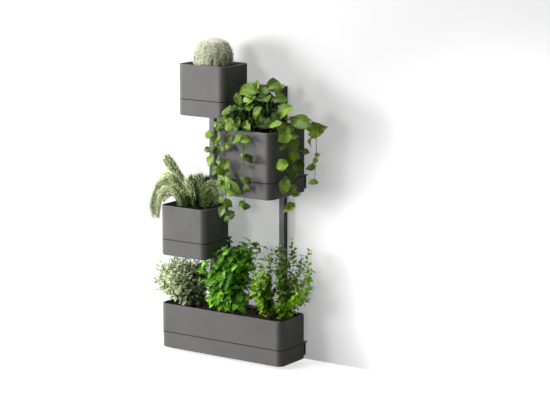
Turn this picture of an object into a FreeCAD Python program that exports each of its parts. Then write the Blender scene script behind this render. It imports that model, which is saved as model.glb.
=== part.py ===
"""Wall planter: a frame of square tube that carries four two-part planters on hook plates.

Each planter stands on a water reservoir of the same outline. A moulded hanger on the back of the
reservoir drops over a hook plate on the frame, so the whole pot lifts off, and the planter lifts
out of its reservoir. The pots hold soil, a perforated soil grate and plants.

Millimetres. X runs along the wall, Y into the wall and Z up. The wall's face is Y = 0, and the
origin is the centre of the four wall screw holes in the uprights.
"""
import FreeCAD
import Part
import math
import os
from dataclasses import dataclass
from FreeCAD import Vector

# Frame of square tube
TUBE = 25.0
TUBE_WALL = 2.0
TUBE_CORNER = 2.5
UPRIGHT_SPACING = 335.0
FRAME_TOP = 516.0
FRAME_BOTTOM = -533.0
SPIGOT_LENGTH = 32.0
SPIGOT_CLEARANCE = 0.2
CAP_THICKNESS = 3.0
CAP_PLUG = 9.0
EDGE_BREAK = 1.0
WALL_HOLE_RADIUS = 3.25
WALL_HOLE_SPACING = 830.0

# Hook plates on the frame
HOOK_WIDTH = 110.0
HOOK_HEIGHT = 39.0
HOOK_THICKNESS = 4.0
HOOK_CORNER = 5.0
HOOK_BEND = 2.0
TOP_HOOK_WALL_GAP = 2.0

# Pots: overall sizes
SMALL_WIDTH = 222.0
SMALL_HEIGHT = 200.0
SLIM_DEPTH = 176.0
LARGE_WIDTH = 252.0
LARGE_DEPTH = 248.0
LARGE_HEIGHT = 256.0
TROUGH_WIDTH = 582.0
TROUGH_HEIGHT = 179.0

# Pots: places of their undersides, and how far they stand off the tubes
STANDOFF = 8.0
TOP_X = -87.0
TOP_BASE = 398.0
LARGE_BASE = 119.0
MIDDLE_BASE = -169.0
TROUGH_BASE = -545.0

# Pots: moulding
WALL = 4.0
CORNER = 27.0
LEAST_CORNER = 1.0
FLOOR = 4.0
FOOT_BREAK = 3.0
RIM_BREAK = 1.2
RESERVOIR_HEIGHT = 63.0
SEAM_GAP = 2.6
SEAT_GAP = 0.2
LEDGE = 3.0
SKIRT_DEPTH = 12.0
SKIRT_WALL = 3.5
SKIRT_CLEARANCE = 0.4

# Hangers on the backs of the reservoirs
HANGER_INSET = 12.0
HANGER_LOW = 9.0
HANGER_DROP = 1.0
HANGER_HIGH = RESERVOIR_HEIGHT - HANGER_DROP
HANGER_PLATE = 2.5
HANGER_FLANGE = 4.0
HANGER_FLOOR = 3.0
HANGER_PLAY = 2.0
HANGER_REACH = TUBE + STANDOFF - TOP_HOOK_WALL_GAP - HOOK_THICKNESS - HANGER_PLAY
HANGER_WEB = 4.0
HOOK_PLAY = 1.0
HOOK_SIDE_PLAY = 3.0
HOOK_GRIP = 13.0
UPRIGHT_PLAY = 1.5
PAD_INSET = 34.0
PAD_WIDTH = 14.0
PAD_HEIGHT = 20.0
PAD_CLEARANCE = 0.2

# Soil grates and soil
GRATE = 2.5
GRATE_CLEARANCE = 0.5
SLOT_WIDTH = 5.0
SLOT_LENGTH = 34.0
SLOT_PITCH = 46.0
SLOT_EDGE = 14.0
CUP_SIDE = 42.0
CUP_TAPER = 4.0
CUP_WALL = 2.0
CUP_FLOOR_GAP = 3.0
CUP_PITCH = 170.0
CUP_SLOT_WIDTH = 4.0
CUP_SLOT_HEIGHT = 30.0
SOIL_DROP = 12.0
SOIL_CLEARANCE = 0.3

# Plants
CACTUS_RADIUS = 76.0
CACTUS_HEIGHT = 106.0
CACTUS_RIBS = 18
CACTUS_RINGS = (-28, -8, 12, 32, 52, 70, 84)
RIB_DEPTH = 0.06
PLANT_GAP = 0.2
FORM_SIDES = 8
FORM_STEPS = 2
BUSH_SIDES = 12

UP = Vector(0, 0, 1)
TO_WALL = Vector(0, 1, 0)
ACROSS = Vector(1, 0, 0)


@dataclass
class Pot:
    """Outer size and place of one planter with its reservoir."""

    name: str
    width: float
    depth: float
    height: float
    x: float
    base: float

    @property
    def back(self):
        return -(TUBE + STANDOFF)

    @property
    def y(self):
        return self.back - self.depth / 2

    @property
    def rim(self):
        return self.base + self.height

    @property
    def seat(self):
        return self.base + RESERVOIR_HEIGHT + SEAM_GAP

    @property
    def soil_top(self):
        return self.rim - SOIL_DROP


TOP = Pot("top", SMALL_WIDTH, SLIM_DEPTH, SMALL_HEIGHT, TOP_X, TOP_BASE)
LARGE = Pot("large", LARGE_WIDTH, LARGE_DEPTH, LARGE_HEIGHT, (TROUGH_WIDTH - LARGE_WIDTH) / 2, LARGE_BASE)
MIDDLE = Pot("middle", SMALL_WIDTH, SLIM_DEPTH, SMALL_HEIGHT, (SMALL_WIDTH - TROUGH_WIDTH) / 2, MIDDLE_BASE)
TROUGH = Pot("trough", TROUGH_WIDTH, SLIM_DEPTH, TROUGH_HEIGHT, 0.0, TROUGH_BASE)
LEFT_X = -UPRIGHT_SPACING / 2
RIGHT_X = UPRIGHT_SPACING / 2
HOOKS = {"top": [TOP.x], "large": [RIGHT_X], "middle": [LEFT_X], "trough": [LEFT_X, RIGHT_X]}


def rounded_outline(centre, across, along, width, height, radius):
    """Closed wire of a rounded rectangle in the plane of two unit vectors."""
    edges = []
    for turn in range(4):
        sign_a, sign_b = ((1, 1), (-1, 1), (-1, -1), (1, -1))[turn]
        core = centre + across * (sign_a * (width / 2 - radius)) + along * (sign_b * (height / 2 - radius))
        angles = [math.radians(90 * turn + step) for step in (0, 45, 90)]
        start, middle, end = [core + (across * math.cos(a) + along * math.sin(a)) * radius for a in angles]
        if edges:
            edges.append(Part.LineSegment(edges[-1].Vertexes[-1].Point, start).toShape())
        edges.append(Part.Arc(start, middle, end).toShape())
    edges.append(Part.LineSegment(edges[-1].Vertexes[-1].Point, edges[0].Vertexes[0].Point).toShape())
    return Part.Wire(edges)


def rounded_bar(centre, across, along, width, height, radius, length):
    """Bar of rounded rectangular section that runs from its centre across x along."""
    face = Part.Face(rounded_outline(centre, across, along, width, height, radius))
    return face.extrude(across.cross(along) * length)


def box(x_range, y_range, z_range):
    """Box between three pairs of limits."""
    low = Vector(x_range[0], y_range[0], z_range[0])
    return Part.makeBox(x_range[1] - x_range[0], y_range[1] - y_range[0], z_range[1] - z_range[0], low)


def edges_at(shape, height):
    """The edges of a shape that lie whole at one height."""
    return [e for e in shape.Edges if all(abs(v.Z - height) < 1e-6 for v in e.Vertexes)]


def fused(first, others):
    """One solid of several that touch, without the seams between their faces."""
    return first.fuse(others).removeSplitter()


def save(name, shape):
    """Write one node, a solid or a group of separate solids."""
    shape.exportStep(f"parts/{name}.step")


# Frame


def square_bar(start, across, along, side, length):
    """Bar of square section from the middle of its end, in the direction across x along."""
    corners = [start + across * (a * side / 2) + along * (b * side / 2)
               for a, b in ((-1, -1), (1, -1), (1, 1), (-1, 1), (-1, -1))]
    return Part.Face(Part.makePolygon(corners)).extrude(across.cross(along) * length)


def tube(start, across, along, length):
    """Square tube from a start point in the direction across x along."""
    outside = rounded_bar(start, across, along, TUBE, TUBE, TUBE_CORNER, length)
    return outside.cut(square_bar(start, across, along, TUBE - 2 * TUBE_WALL, length))


def spigot(start, across, along, length):
    """Plug that fills a tube's bore with a small clearance."""
    return square_bar(start, across, along, TUBE - 2 * TUBE_WALL - 2 * SPIGOT_CLEARANCE, length)


def upright(x):
    """Upright tube with its two wall screw holes through front and back."""
    start = Vector(x, -TUBE / 2, FRAME_BOTTOM + CAP_THICKNESS)
    shape = tube(start, ACROSS, TO_WALL, FRAME_TOP - TUBE - start.z)
    holes = [Part.makeCylinder(WALL_HOLE_RADIUS, TUBE, Vector(x, -TUBE, z), TO_WALL)
             for z in (-WALL_HOLE_SPACING / 2, WALL_HOLE_SPACING / 2)]
    return shape.cut(holes)


def cross_rail():
    """Tube between the two corner pieces."""
    start = Vector(LEFT_X + TUBE / 2, -TUBE / 2, FRAME_TOP - TUBE / 2)
    return tube(start, TO_WALL, UP, UPRIGHT_SPACING - TUBE)


def corner_piece(x, inward):
    """Corner block flush with the tubes, with one spigot down and one sideways."""
    low = Vector(x, -TUBE / 2, FRAME_TOP - TUBE)
    block = rounded_bar(low, ACROSS, TO_WALL, TUBE, TUBE, TUBE_CORNER, TUBE)
    block = block.makeChamfer(EDGE_BREAK, edges_at(block, FRAME_TOP))
    down = spigot(low, TO_WALL, ACROSS, SPIGOT_LENGTH)
    side = Vector(x + inward * TUBE / 2, -TUBE / 2, FRAME_TOP - TUBE / 2)
    along = spigot(side, TO_WALL, UP * inward, SPIGOT_LENGTH)
    return fused(block, [down, along])


def end_caps():
    """Plugs in the lower ends of the two uprights."""
    caps = []
    for x in (LEFT_X, RIGHT_X):
        low = Vector(x, -TUBE / 2, FRAME_BOTTOM)
        plate = rounded_bar(low, ACROSS, TO_WALL, TUBE, TUBE, TUBE_CORNER, CAP_THICKNESS)
        caps.append(fused(plate, [spigot(low + UP * CAP_THICKNESS, ACROSS, TO_WALL, CAP_PLUG)]))
    return Part.makeCompound(caps)


def hook_top(pot):
    """Upper edge of a hook plate, just under the hanger's flange."""
    return pot.base + HANGER_HIGH - HANGER_FLANGE - SEAT_GAP


def hook_plate(x, high):
    """Plate with clipped corners, welded to the front of an upright."""
    left, right, low = x - HOOK_WIDTH / 2, x + HOOK_WIDTH / 2, high - HOOK_HEIGHT
    clip = HOOK_CORNER
    outline = [(left, low + clip), (left + clip, low), (right - clip, low), (right, low + clip),
               (right, high - clip), (right - clip, high), (left + clip, high), (left, high - clip)]
    corners = [Vector(px, -TUBE, pz) for px, pz in outline + outline[:1]]
    return Part.Face(Part.makePolygon(corners)).extrude(TO_WALL * -HOOK_THICKNESS)


def top_hook():
    """Strip bent to a hook that hangs under the cross rail and turns up in front of the tubes."""
    front, back = -TUBE - HOOK_THICKNESS, -TOP_HOOK_WALL_GAP
    high, under_rail = hook_top(TOP), FRAME_TOP - TUBE
    low = high - HOOK_HEIGHT
    outline = [(-TUBE, under_rail), (back, under_rail), (back, low), (front, low), (front, high),
               (-TUBE, high), (-TUBE, low + HOOK_THICKNESS), (back - HOOK_THICKNESS, low + HOOK_THICKNESS),
               (back - HOOK_THICKNESS, under_rail - HOOK_THICKNESS), (-TUBE, under_rail - HOOK_THICKNESS)]
    corners = [Vector(TOP.x - HOOK_WIDTH / 2, y, z) for y, z in outline + outline[:1]]
    strip = Part.Face(Part.makePolygon(corners)).extrude(ACROSS * HOOK_WIDTH)
    outer = [edge for edge in strip.Edges if is_bend(edge, outline[1:4])]
    strip = strip.makeFillet(HOOK_BEND + HOOK_THICKNESS, outer)
    inner = [edge for edge in strip.Edges if is_bend(edge, outline[6:9])]
    return strip.makeFillet(HOOK_BEND, inner)


def is_bend(edge, places):
    """Whether an edge runs along X through one of the places (y, z)."""
    start, end = edge.Vertexes[0].Point, edge.Vertexes[-1].Point
    along_x = abs(start.y - end.y) + abs(start.z - end.z) < 1e-6
    return along_x and any(abs(start.y - y) + abs(start.z - z) < 1e-6 for y, z in places)


def save_frame():
    """Tubes, corner pieces, end caps and hooks."""
    save("left_upright", upright(LEFT_X))
    save("right_upright", upright(RIGHT_X))
    save("cross_rail", cross_rail())
    save("left_corner_piece", corner_piece(LEFT_X, 1))
    save("right_corner_piece", corner_piece(RIGHT_X, -1))
    save("end_caps", end_caps())
    save("top_hook", top_hook())
    save("large_hook", hook_plate(RIGHT_X, hook_top(LARGE)))
    save("middle_hook", hook_plate(LEFT_X, hook_top(MIDDLE)))
    save("trough_left_hook", hook_plate(LEFT_X, hook_top(TROUGH)))
    save("trough_right_hook", hook_plate(RIGHT_X, hook_top(TROUGH)))


# Pots


def inset_prism(pot, inset, low, high):
    """The pot's outline drawn in by an inset, between two heights."""
    width, depth = pot.width - 2 * inset, pot.depth - 2 * inset
    radius = max(CORNER - inset, LEAST_CORNER)
    return rounded_bar(Vector(pot.x, pot.y, low), ACROSS, TO_WALL, width, depth, radius, high - low)


def clipped_prism(pot, inset, low, high):
    """Like inset_prism, with corners clipped just inside the round ones."""
    half_x, half_y = pot.width / 2 - inset, pot.depth / 2 - inset
    clip = max(CORNER - inset, LEAST_CORNER)
    quarter = [(half_x, half_y - clip), (half_x - clip, half_y)]
    outline = quarter + [(-x, y) for x, y in reversed(quarter)]
    outline += [(-x, -y) for x, y in outline]
    corners = [Vector(pot.x + x, pot.y + y, low) for x, y in outline + outline[:1]]
    return Part.Face(Part.makePolygon(corners)).extrude(UP * (high - low))


def planter(pot):
    """Upper shell: open wall, ledge for the soil grate and a skirt that drops into the reservoir."""
    shell = inset_prism(pot, 0, pot.seat, pot.rim)
    shell = shell.makeChamfer(RIM_BREAK, edges_at(shell, pot.rim))
    skirt = inset_prism(pot, WALL + SKIRT_CLEARANCE, pot.seat - SKIRT_DEPTH, pot.seat)
    bore = inset_prism(pot, WALL, pot.seat + LEDGE, pot.rim)
    opening = inset_prism(pot, ledge_inset(), pot.seat - SKIRT_DEPTH, pot.seat + LEDGE)
    return fused(shell, [skirt]).cut([bore, opening])


def ledge_inset():
    """How far the ledge and the skirt's inner face lie from the outside."""
    return WALL + SKIRT_CLEARANCE + SKIRT_WALL


def pad_places(pot):
    """Places along X of the pads that locate the hanger on the reservoir."""
    reach = pot.width / 2 - PAD_INSET
    return [pot.x - reach, pot.x + reach]


def pad(pot, x, clearance):
    """Pad on the back of the reservoir, or with a clearance its window in the hanger's plate."""
    half, middle = PAD_WIDTH / 2 + clearance, pot.base + (HANGER_LOW + HANGER_HIGH) / 2
    rise = PAD_HEIGHT / 2 + clearance
    depth = (pot.back - WALL / 2, pot.back + HANGER_PLATE)
    return box((x - half, x + half), depth, (middle - rise, middle + rise))


def reservoir(pot):
    """Lower tub with a tongue round its rim, which leaves the seam as a shadow line."""
    rim = pot.base + RESERVOIR_HEIGHT
    tub = inset_prism(pot, 0, pot.base, rim)
    tub = tub.makeChamfer(FOOT_BREAK, edges_at(tub, pot.base))
    tongue = inset_prism(pot, WALL / 2, rim, pot.seat - SEAT_GAP)
    tub = fused(tub, [tongue]).cut(inset_prism(pot, WALL, pot.base + FLOOR, pot.seat))
    return fused(tub, [pad(pot, x, 0) for x in pad_places(pot)])


def hanger_span(pot):
    """Left and right ends of a pot's hanger."""
    reach = pot.width / 2 - HANGER_INSET
    return pot.x - reach, pot.x + reach


def hanger(pot):
    """Channel along the back of a reservoir, whose lip drops behind the hook plates."""
    left, right = hanger_span(pot)
    web = STANDOFF + HOOK_PLAY
    low, high = pot.base + HANGER_LOW, pot.base + HANGER_HIGH
    under_flange = high - HANGER_FLANGE
    outline = [(0, low), (0, high), (HANGER_REACH, high), (HANGER_REACH, under_flange),
               (web + HANGER_WEB, under_flange), (web + HANGER_WEB, low), (0, low)]
    section = Part.Face(Part.makePolygon([Vector(left, pot.back + y, z) for y, z in outline]))
    shape = section.extrude(ACROSS * (right - left))
    far = pot.back + HANGER_REACH
    groove = (pot.back + HANGER_PLATE, pot.back + web)
    cuts = [box((left, right), groove, (low + HANGER_FLOOR, under_flange))]
    half = HOOK_WIDTH / 2 + HOOK_SIDE_PLAY
    for x in HOOKS[pot.name]:
        depth = (pot.back + HANGER_PLATE, far)
        cuts.append(box((x - half, x + half), depth, (low, under_flange - HOOK_GRIP)))
    half = TUBE / 2 + UPRIGHT_PLAY
    for x in (LEFT_X, RIGHT_X):
        cuts.append(box((x - half, x + half), (pot.back + STANDOFF - UPRIGHT_PLAY, far), (low, high)))
    cuts += [pad(pot, x, PAD_CLEARANCE) for x in pad_places(pot)]
    return shape.cut(cuts)


def cup_places(pot):
    """Places along X of the cups that reach down into the water."""
    count = max(1, int((pot.width - 2 * ledge_inset()) // CUP_PITCH))
    return [pot.x + (i - (count - 1) / 2) * CUP_PITCH for i in range(count)]


def tapered_cup(pot, x, inset, low, high):
    """Square core of a soil cup, narrower at its tip and drawn in by an inset."""
    top, tip = CUP_SIDE / 2 - inset, CUP_SIDE / 2 - CUP_TAPER - inset
    wedge = Part.makeWedge(-tip, 0, -tip, -top, -top, tip, high - low, tip, top, top)
    wedge.rotate(Vector(0, 0, 0), ACROSS, 90)
    return wedge.translated(Vector(x, pot.y, low))


def soil_grate(pot):
    """Slotted plate on the planter's ledge with cups that hold soil down in the water."""
    low = pot.seat + LEDGE
    tip = pot.base + FLOOR + CUP_FLOOR_GAP
    plate = clipped_prism(pot, WALL + GRATE_CLEARANCE, low, low + GRATE)
    cups = [tapered_cup(pot, x, 0, tip, low) for x in cup_places(pot)]
    cuts = [tapered_cup(pot, x, CUP_WALL, tip + CUP_WALL, low + GRATE) for x in cup_places(pot)]
    for x in cup_places(pot):
        half, reach = CUP_SLOT_WIDTH / 2, CUP_SIDE / 2
        slot_z = (tip + 2 * CUP_WALL, tip + 2 * CUP_WALL + CUP_SLOT_HEIGHT)
        cuts.append(box((x - half, x + half), (pot.y - reach, pot.y + reach), slot_z))
        cuts.append(box((x - reach, x + reach), (pot.y - half, pot.y + half), slot_z))
    row = pot.depth / 2 - ledge_inset() - SLOT_EDGE - SLOT_LENGTH / 2
    count = int((pot.width - 2 * CORNER) // SLOT_PITCH) + 1
    for i in range(count):
        x = pot.x + (i - (count - 1) / 2) * SLOT_PITCH
        for y in (pot.y - row, pot.y + row):
            slot = (x - SLOT_WIDTH / 2, x + SLOT_WIDTH / 2), (y - SLOT_LENGTH / 2, y + SLOT_LENGTH / 2)
            cuts.append(box(*slot, (low, low + GRATE)))
    return fused(plate, cups).cut(cuts)


def soil(pot):
    """Soil that fills the planter and the cups of its grate."""
    low = pot.seat + LEDGE + GRATE + SOIL_CLEARANCE
    bed = clipped_prism(pot, WALL + SOIL_CLEARANCE, low, pot.soil_top)
    tip = pot.base + FLOOR + CUP_FLOOR_GAP + CUP_WALL + SOIL_CLEARANCE
    plugs = [tapered_cup(pot, x, CUP_WALL + SOIL_CLEARANCE, tip, low) for x in cup_places(pot)]
    return fused(bed, plugs)


def save_pot(pot):
    """All the pieces of one pot, without its plants."""
    save(f"{pot.name}_planter", planter(pot))
    save(f"{pot.name}_reservoir", reservoir(pot))
    save(f"{pot.name}_hanger", hanger(pot))
    save(f"{pot.name}_soil_grate", soil_grate(pot))
    save(f"{pot.name}_soil", soil(pot))


# Plants


def facet_solid(rings):
    """Solid of flat facets through rings of as many points each, with a flat face at both ends."""
    faces = [Part.Face(Part.makePolygon(ring + ring[:1])) for ring in (rings[0], rings[-1])]
    for lower, upper in zip(rings, rings[1:]):
        for i, j in zip(range(len(lower)), [*range(1, len(lower)), 0]):
            faces.append(Part.Face(Part.makePolygon([lower[i], lower[j], upper[j], lower[i]])))
            faces.append(Part.Face(Part.makePolygon([lower[i], upper[j], upper[i], lower[i]])))
    solid = Part.Solid(Part.Shell(faces))
    return solid if solid.Volume > 0 else solid.reversed()


def eased(values, span, t):
    """Point of a smooth curve through values, at t from 0 to 1 on one of its spans."""
    a, b, c, d = [values[min(max(span + k, 0), len(values) - 1)] for k in (-1, 0, 1, 2)]
    slope, bend, twist = c - a, a * 2 - b * 5 + c * 4 - d, b * 3 - a - c * 3 + d
    return b + slope * (t / 2) + bend * (t * t / 2) + twist * (t ** 3 / 2)


def stem_form(points, radii):
    """Solid round a smooth path from a root up, with a radius at each point."""
    path, sizes = [points[0]], [radii[0]]
    for span in range(len(points) - 1):
        for step in range(1, FORM_STEPS + 1):
            path.append(eased(points, span, step / FORM_STEPS))
            sizes.append(eased(radii, span, step / FORM_STEPS))
    rings, side = [], ACROSS
    for i, (point, size) in enumerate(zip(path, sizes)):
        along = path[min(i + 1, len(path) - 1)] - path[max(i - 1, 0)] if i else Vector(UP)
        along.normalize()
        side = side - along * side.dot(along)
        side.normalize()
        other = along.cross(side)
        angles = [2 * math.pi * k / FORM_SIDES for k in range(FORM_SIDES)]
        rings.append([point + (side * math.cos(a) + other * math.sin(a)) * size for a in angles])
    return facet_solid(rings)


def rooted(pot, stations):
    """Stem form with its points given from the pot's centre line and soil: along X, along Y, up, radius."""
    ground = Vector(pot.x, pot.y, pot.soil_top + PLANT_GAP)
    return stem_form([ground + Vector(*place[:3]) for place in stations], [place[3] for place in stations])


def bush_form(pot, stations):
    """Solid through level ovals from the pot's centre line and soil: along X, along Y, up, half sizes."""
    ground = Vector(pot.x, pot.y, pot.soil_top + PLANT_GAP)
    angles = [2 * math.pi * k / BUSH_SIDES for k in range(BUSH_SIDES)]
    rings = []
    for x, y, up, half_x, half_y in stations:
        centre = ground + Vector(x, y, up)
        rings.append([centre + Vector(half_x * math.cos(a), half_y * math.sin(a), 0) for a in angles])
    return facet_solid(rings)


def cactus(pot):
    """Ribbed globe that sits in the soil, through star outlines."""
    ground = Vector(pot.x, pot.y, pot.soil_top + PLANT_GAP)
    rings = []
    lowest = math.sin(math.radians(CACTUS_RINGS[0]))
    for degrees in CACTUS_RINGS:
        z = CACTUS_HEIGHT * (math.sin(math.radians(degrees)) - lowest) / (1 - lowest)
        radius = CACTUS_RADIUS * math.cos(math.radians(degrees))
        corners = []
        for i in range(2 * CACTUS_RIBS):
            angle = math.pi * i / CACTUS_RIBS
            r = radius * (1 - RIB_DEPTH * (i % 2))
            corners.append(ground + Vector(r * math.cos(angle), r * math.sin(angle), z))
        rings.append(corners)
    return facet_solid(rings)


def foxtail_fern(pot):
    """Plumes that rise from the soil and arch outwards."""
    plumes = [
        [(-20, 14, 0, 9), (-42, 8, 60, 20), (-78, 0, 130, 20), (-118, -4, 192, 12)],
        [(-50, -10, 0, 9), (-88, -18, 60, 19), (-128, -28, 110, 24), (-160, -40, 100, 24),
         (-178, -50, 30, 23), (-184, -56, -52, 12)],
        [(-4, -22, 0, 10), (-8, -34, 50, 24), (-6, -46, 100, 22), (4, -54, 140, 11)],
        [(20, 26, 0, 9), (28, 34, 60, 21), (34, 38, 110, 20), (40, 40, 150, 10)],
        [(34, -14, 0, 9), (52, -20, 50, 20), (84, -26, 90, 21), (116, -32, 78, 18), (134, -36, 40, 9)],
        [(-62, 38, 0, 9), (-86, 40, 50, 20), (-120, 42, 100, 20), (-152, 44, 112, 11)],
    ]
    return Part.makeCompound([rooted(pot, plume) for plume in plumes])


def pothos_crown(pot):
    """Outer form of the leafy crown."""
    stations = [(-20, 8, 0, 24, 24), (-20, 8, 16, 30, 30), (-18, 2, 50, 78, 66), (-12, 0, 95, 98, 80),
                (-8, 0, 145, 84, 70), (-6, 0, 180, 52, 44), (-6, 0, 200, 20, 18)]
    return bush_form(pot, stations)


def pothos_vines(pot):
    """Trailing vines that rise from the soil, pass over the rim and hang down outside."""
    front, side = -pot.depth / 2, pot.width / 2
    vines = [
        [(-96, front + 30, 0, 6), (-100, front + 18, 34, 8), (-104, front - 8, 44, 9),
         (-98, front - 22, 16, 12), (-84, front - 24, -60, 15), (-76, front - 24, -170, 14),
         (-90, front - 22, -346, 6)],
        [(6, front + 30, 0, 5), (8, front + 18, 32, 7), (10, front - 6, 42, 8), (14, front - 20, 14, 10),
         (16, front - 22, -60, 12), (18, front - 22, -170, 12), (14, front - 22, -294, 5)],
        [(side - 30, -50, 0, 6), (side - 18, -52, 36, 8), (side + 8, -54, 46, 9), (side + 22, -54, 16, 12),
         (side + 25, -52, -60, 16), (side + 25, -46, -170, 15), (side + 24, -38, -296, 6)],
        [(side - 28, 28, 0, 5), (side - 16, 32, 30, 6), (side + 6, 36, 40, 7), (side + 18, 38, 14, 8),
         (side + 18, 40, -60, 9), (side + 18, 42, -158, 5)],
        [(side - 34, -8, 0, 6), (side - 10, 0, 44, 8), (side + 40, 20, 62, 9), (side + 86, 40, 40, 11),
         (side + 96, 46, -20, 10), (side + 96, 44, -110, 8), (side + 94, 36, -204, 5)],
    ]
    return Part.makeCompound([rooted(pot, vine) for vine in vines])


def herb_forms(pot):
    """Outer forms of the three herbs in the trough, by node name."""
    thyme = [(-196, 0, 0, 30, 30), (-198, 0, 16, 34, 34), (-212, -12, 48, 92, 66), (-224, -20, 95, 118, 80),
             (-226, -20, 140, 112, 76), (-222, -18, 176, 74, 52)]
    basil = [(-24, -14, 0, 26, 26), (-24, -14, 16, 30, 30), (-10, -20, 45, 84, 64), (0, -22, 100, 102, 78),
             (2, -16, 150, 100, 72), (24, -10, 190, 82, 58), (44, -4, 250, 62, 44), (64, 0, 300, 24, 20)]
    box_herb = [(196, 2, 0, 32, 32), (198, 2, 16, 38, 38), (216, -6, 50, 88, 64), (238, -4, 110, 128, 74),
                (246, 0, 180, 132, 72), (250, 4, 240, 112, 62), (252, 8, 300, 66, 44), (254, 10, 330, 30, 24)]
    forms = {"thyme": thyme, "basil": basil, "box_herb": box_herb}
    return {name: bush_form(pot, stations) for name, stations in forms.items()}


def save_plants():
    """The plants, each as its outer form."""
    save("cactus", cactus(TOP))
    save("pothos_crown", pothos_crown(LARGE))
    save("pothos_vines", pothos_vines(LARGE))
    save("foxtail_fern", foxtail_fern(MIDDLE))
    for name, shape in herb_forms(TROUGH).items():
        save(name, shape)


def main():
    os.makedirs("parts", exist_ok=True)
    save_frame()
    for pot in (TOP, LARGE, MIDDLE, TROUGH):
        save_pot(pot)
    save_plants()


main()
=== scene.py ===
"""Looks of the wall planter: finishes of frame and pots, soil, and the plants in the four pots.

Metres, in the frame of the model: X along the wall, Y into the wall, Z up.
"""
import math

import bmesh
import bpy
import numpy as np
from mathutils import Matrix, Vector, noise


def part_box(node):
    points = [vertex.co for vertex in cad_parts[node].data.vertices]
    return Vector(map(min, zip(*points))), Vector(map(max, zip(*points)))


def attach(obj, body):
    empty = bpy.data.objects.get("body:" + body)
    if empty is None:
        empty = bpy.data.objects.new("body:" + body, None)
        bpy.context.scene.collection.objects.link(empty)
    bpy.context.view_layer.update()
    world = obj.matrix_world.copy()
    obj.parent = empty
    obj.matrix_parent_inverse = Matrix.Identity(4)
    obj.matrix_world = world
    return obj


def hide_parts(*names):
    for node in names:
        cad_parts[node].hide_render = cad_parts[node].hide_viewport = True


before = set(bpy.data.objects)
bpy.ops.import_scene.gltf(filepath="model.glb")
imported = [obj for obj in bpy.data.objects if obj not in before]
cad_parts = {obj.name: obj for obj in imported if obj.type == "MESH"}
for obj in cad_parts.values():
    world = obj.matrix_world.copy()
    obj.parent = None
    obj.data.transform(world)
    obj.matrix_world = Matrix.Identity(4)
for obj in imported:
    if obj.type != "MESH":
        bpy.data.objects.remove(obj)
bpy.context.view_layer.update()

MM = 0.001
GOLDEN = math.radians(137.5)
UP = np.array([0.0, 0.0, 1.0])
POTS = ("top", "large", "middle", "trough")
scene = bpy.context.scene


# Node trees


def put(tree, socket, value):
    """Link a socket to an input, or set the input's value."""
    if isinstance(value, bpy.types.NodeSocket):
        tree.links.new(value, socket)
    else:
        socket.default_value = value


def add(tree, kind, inputs=None, **settings):
    """New node with its settings and inputs."""
    node = tree.nodes.new(kind)
    for name, value in settings.items():
        setattr(node, name, value)
    for name, value in (inputs or {}).items():
        put(tree, node.inputs[name], value)
    return node


def calc(tree, operation, *values):
    """Result of a Math node."""
    node = add(tree, "ShaderNodeMath", operation=operation)
    for socket, value in zip(node.inputs, values):
        put(tree, socket, value)
    return node.outputs[0]


def mix(tree, factor, first, second):
    """Colour between two colours."""
    node = add(tree, "ShaderNodeMix", data_type="RGBA")
    for index, value in ((0, factor), (6, first), (7, second)):
        put(tree, node.inputs[index], value)
    return node.outputs[2]


def remap(tree, value, low, high, to_low, to_high, smooth=False):
    """Value carried from one range to another."""
    inputs = {"Value": value, "From Min": low, "From Max": high, "To Min": to_low, "To Max": to_high}
    kind = "SMOOTHSTEP" if smooth else "LINEAR"
    return add(tree, "ShaderNodeMapRange", inputs, interpolation_type=kind).outputs[0]


def sockets(tree, inputs, outputs):
    """Declare a tree's inputs (name: kind, default) and outputs, and return its ends."""
    for name, (kind, default) in inputs.items():
        socket = tree.interface.new_socket(name, in_out="INPUT", socket_type="NodeSocket" + kind)
        if default is not None:
            socket.default_value = default
    for name, kind in outputs.items():
        tree.interface.new_socket(name, in_out="OUTPUT", socket_type="NodeSocket" + kind)
    return tree.nodes.new("NodeGroupInput").outputs, tree.nodes.new("NodeGroupOutput").inputs


# Growth: trees that set leaves, spines and crumbs in place

FULL_TURN = 6.3  # of a crumb about each axis, in radians
TONE_SPREAD = 0.22  # how far a leaf's tone may lie from its stem's shade


def random_value(tree, low, high, seed, shift):
    """Random number for each element."""
    inputs = {2: low, 3: high, "Seed": calc(tree, "ADD", seed, shift)}
    return add(tree, "FunctionNodeRandomValue", inputs, data_type="FLOAT").outputs[1]


def spread_about(tree, value, spread, seed, shift):
    """Value with a random spread to either side, for each element."""
    least = calc(tree, "MULTIPLY", spread, -1.0)
    return calc(tree, "ADD", value, random_value(tree, least, spread, seed, shift))


def random_pick(tree, count, seed):
    """Random index below a count, for each element."""
    inputs = {4: 0, 5: calc(tree, "SUBTRACT", count, 1), "Seed": seed}
    return add(tree, "FunctionNodeRandomValue", inputs, data_type="INT").outputs[2]


def attribute(tree, name, kind="FLOAT"):
    """Named attribute of the points."""
    return add(tree, "GeometryNodeInputNamedAttribute", {"Name": name}, data_type=kind).outputs[0]


def store(tree, geometry, name, value, kind="FLOAT", domain="POINT"):
    """Geometry with a value stored under a name."""
    inputs = {"Geometry": geometry, "Name": name, "Value": value}
    return add(tree, "GeometryNodeStoreNamedAttribute", inputs, data_type=kind, domain=domain).outputs[0]


def turned(tree, rotation, axis, angle):
    """Rotation turned about one of its own axes."""
    by = add(tree, "FunctionNodeAxisAngleToRotation", {"Axis": axis, "Angle": angle}).outputs[0]
    inputs = {"Rotation": rotation, "Rotate By": by}
    return add(tree, "FunctionNodeRotateRotation", inputs, rotation_space="LOCAL").outputs[0]


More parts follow.
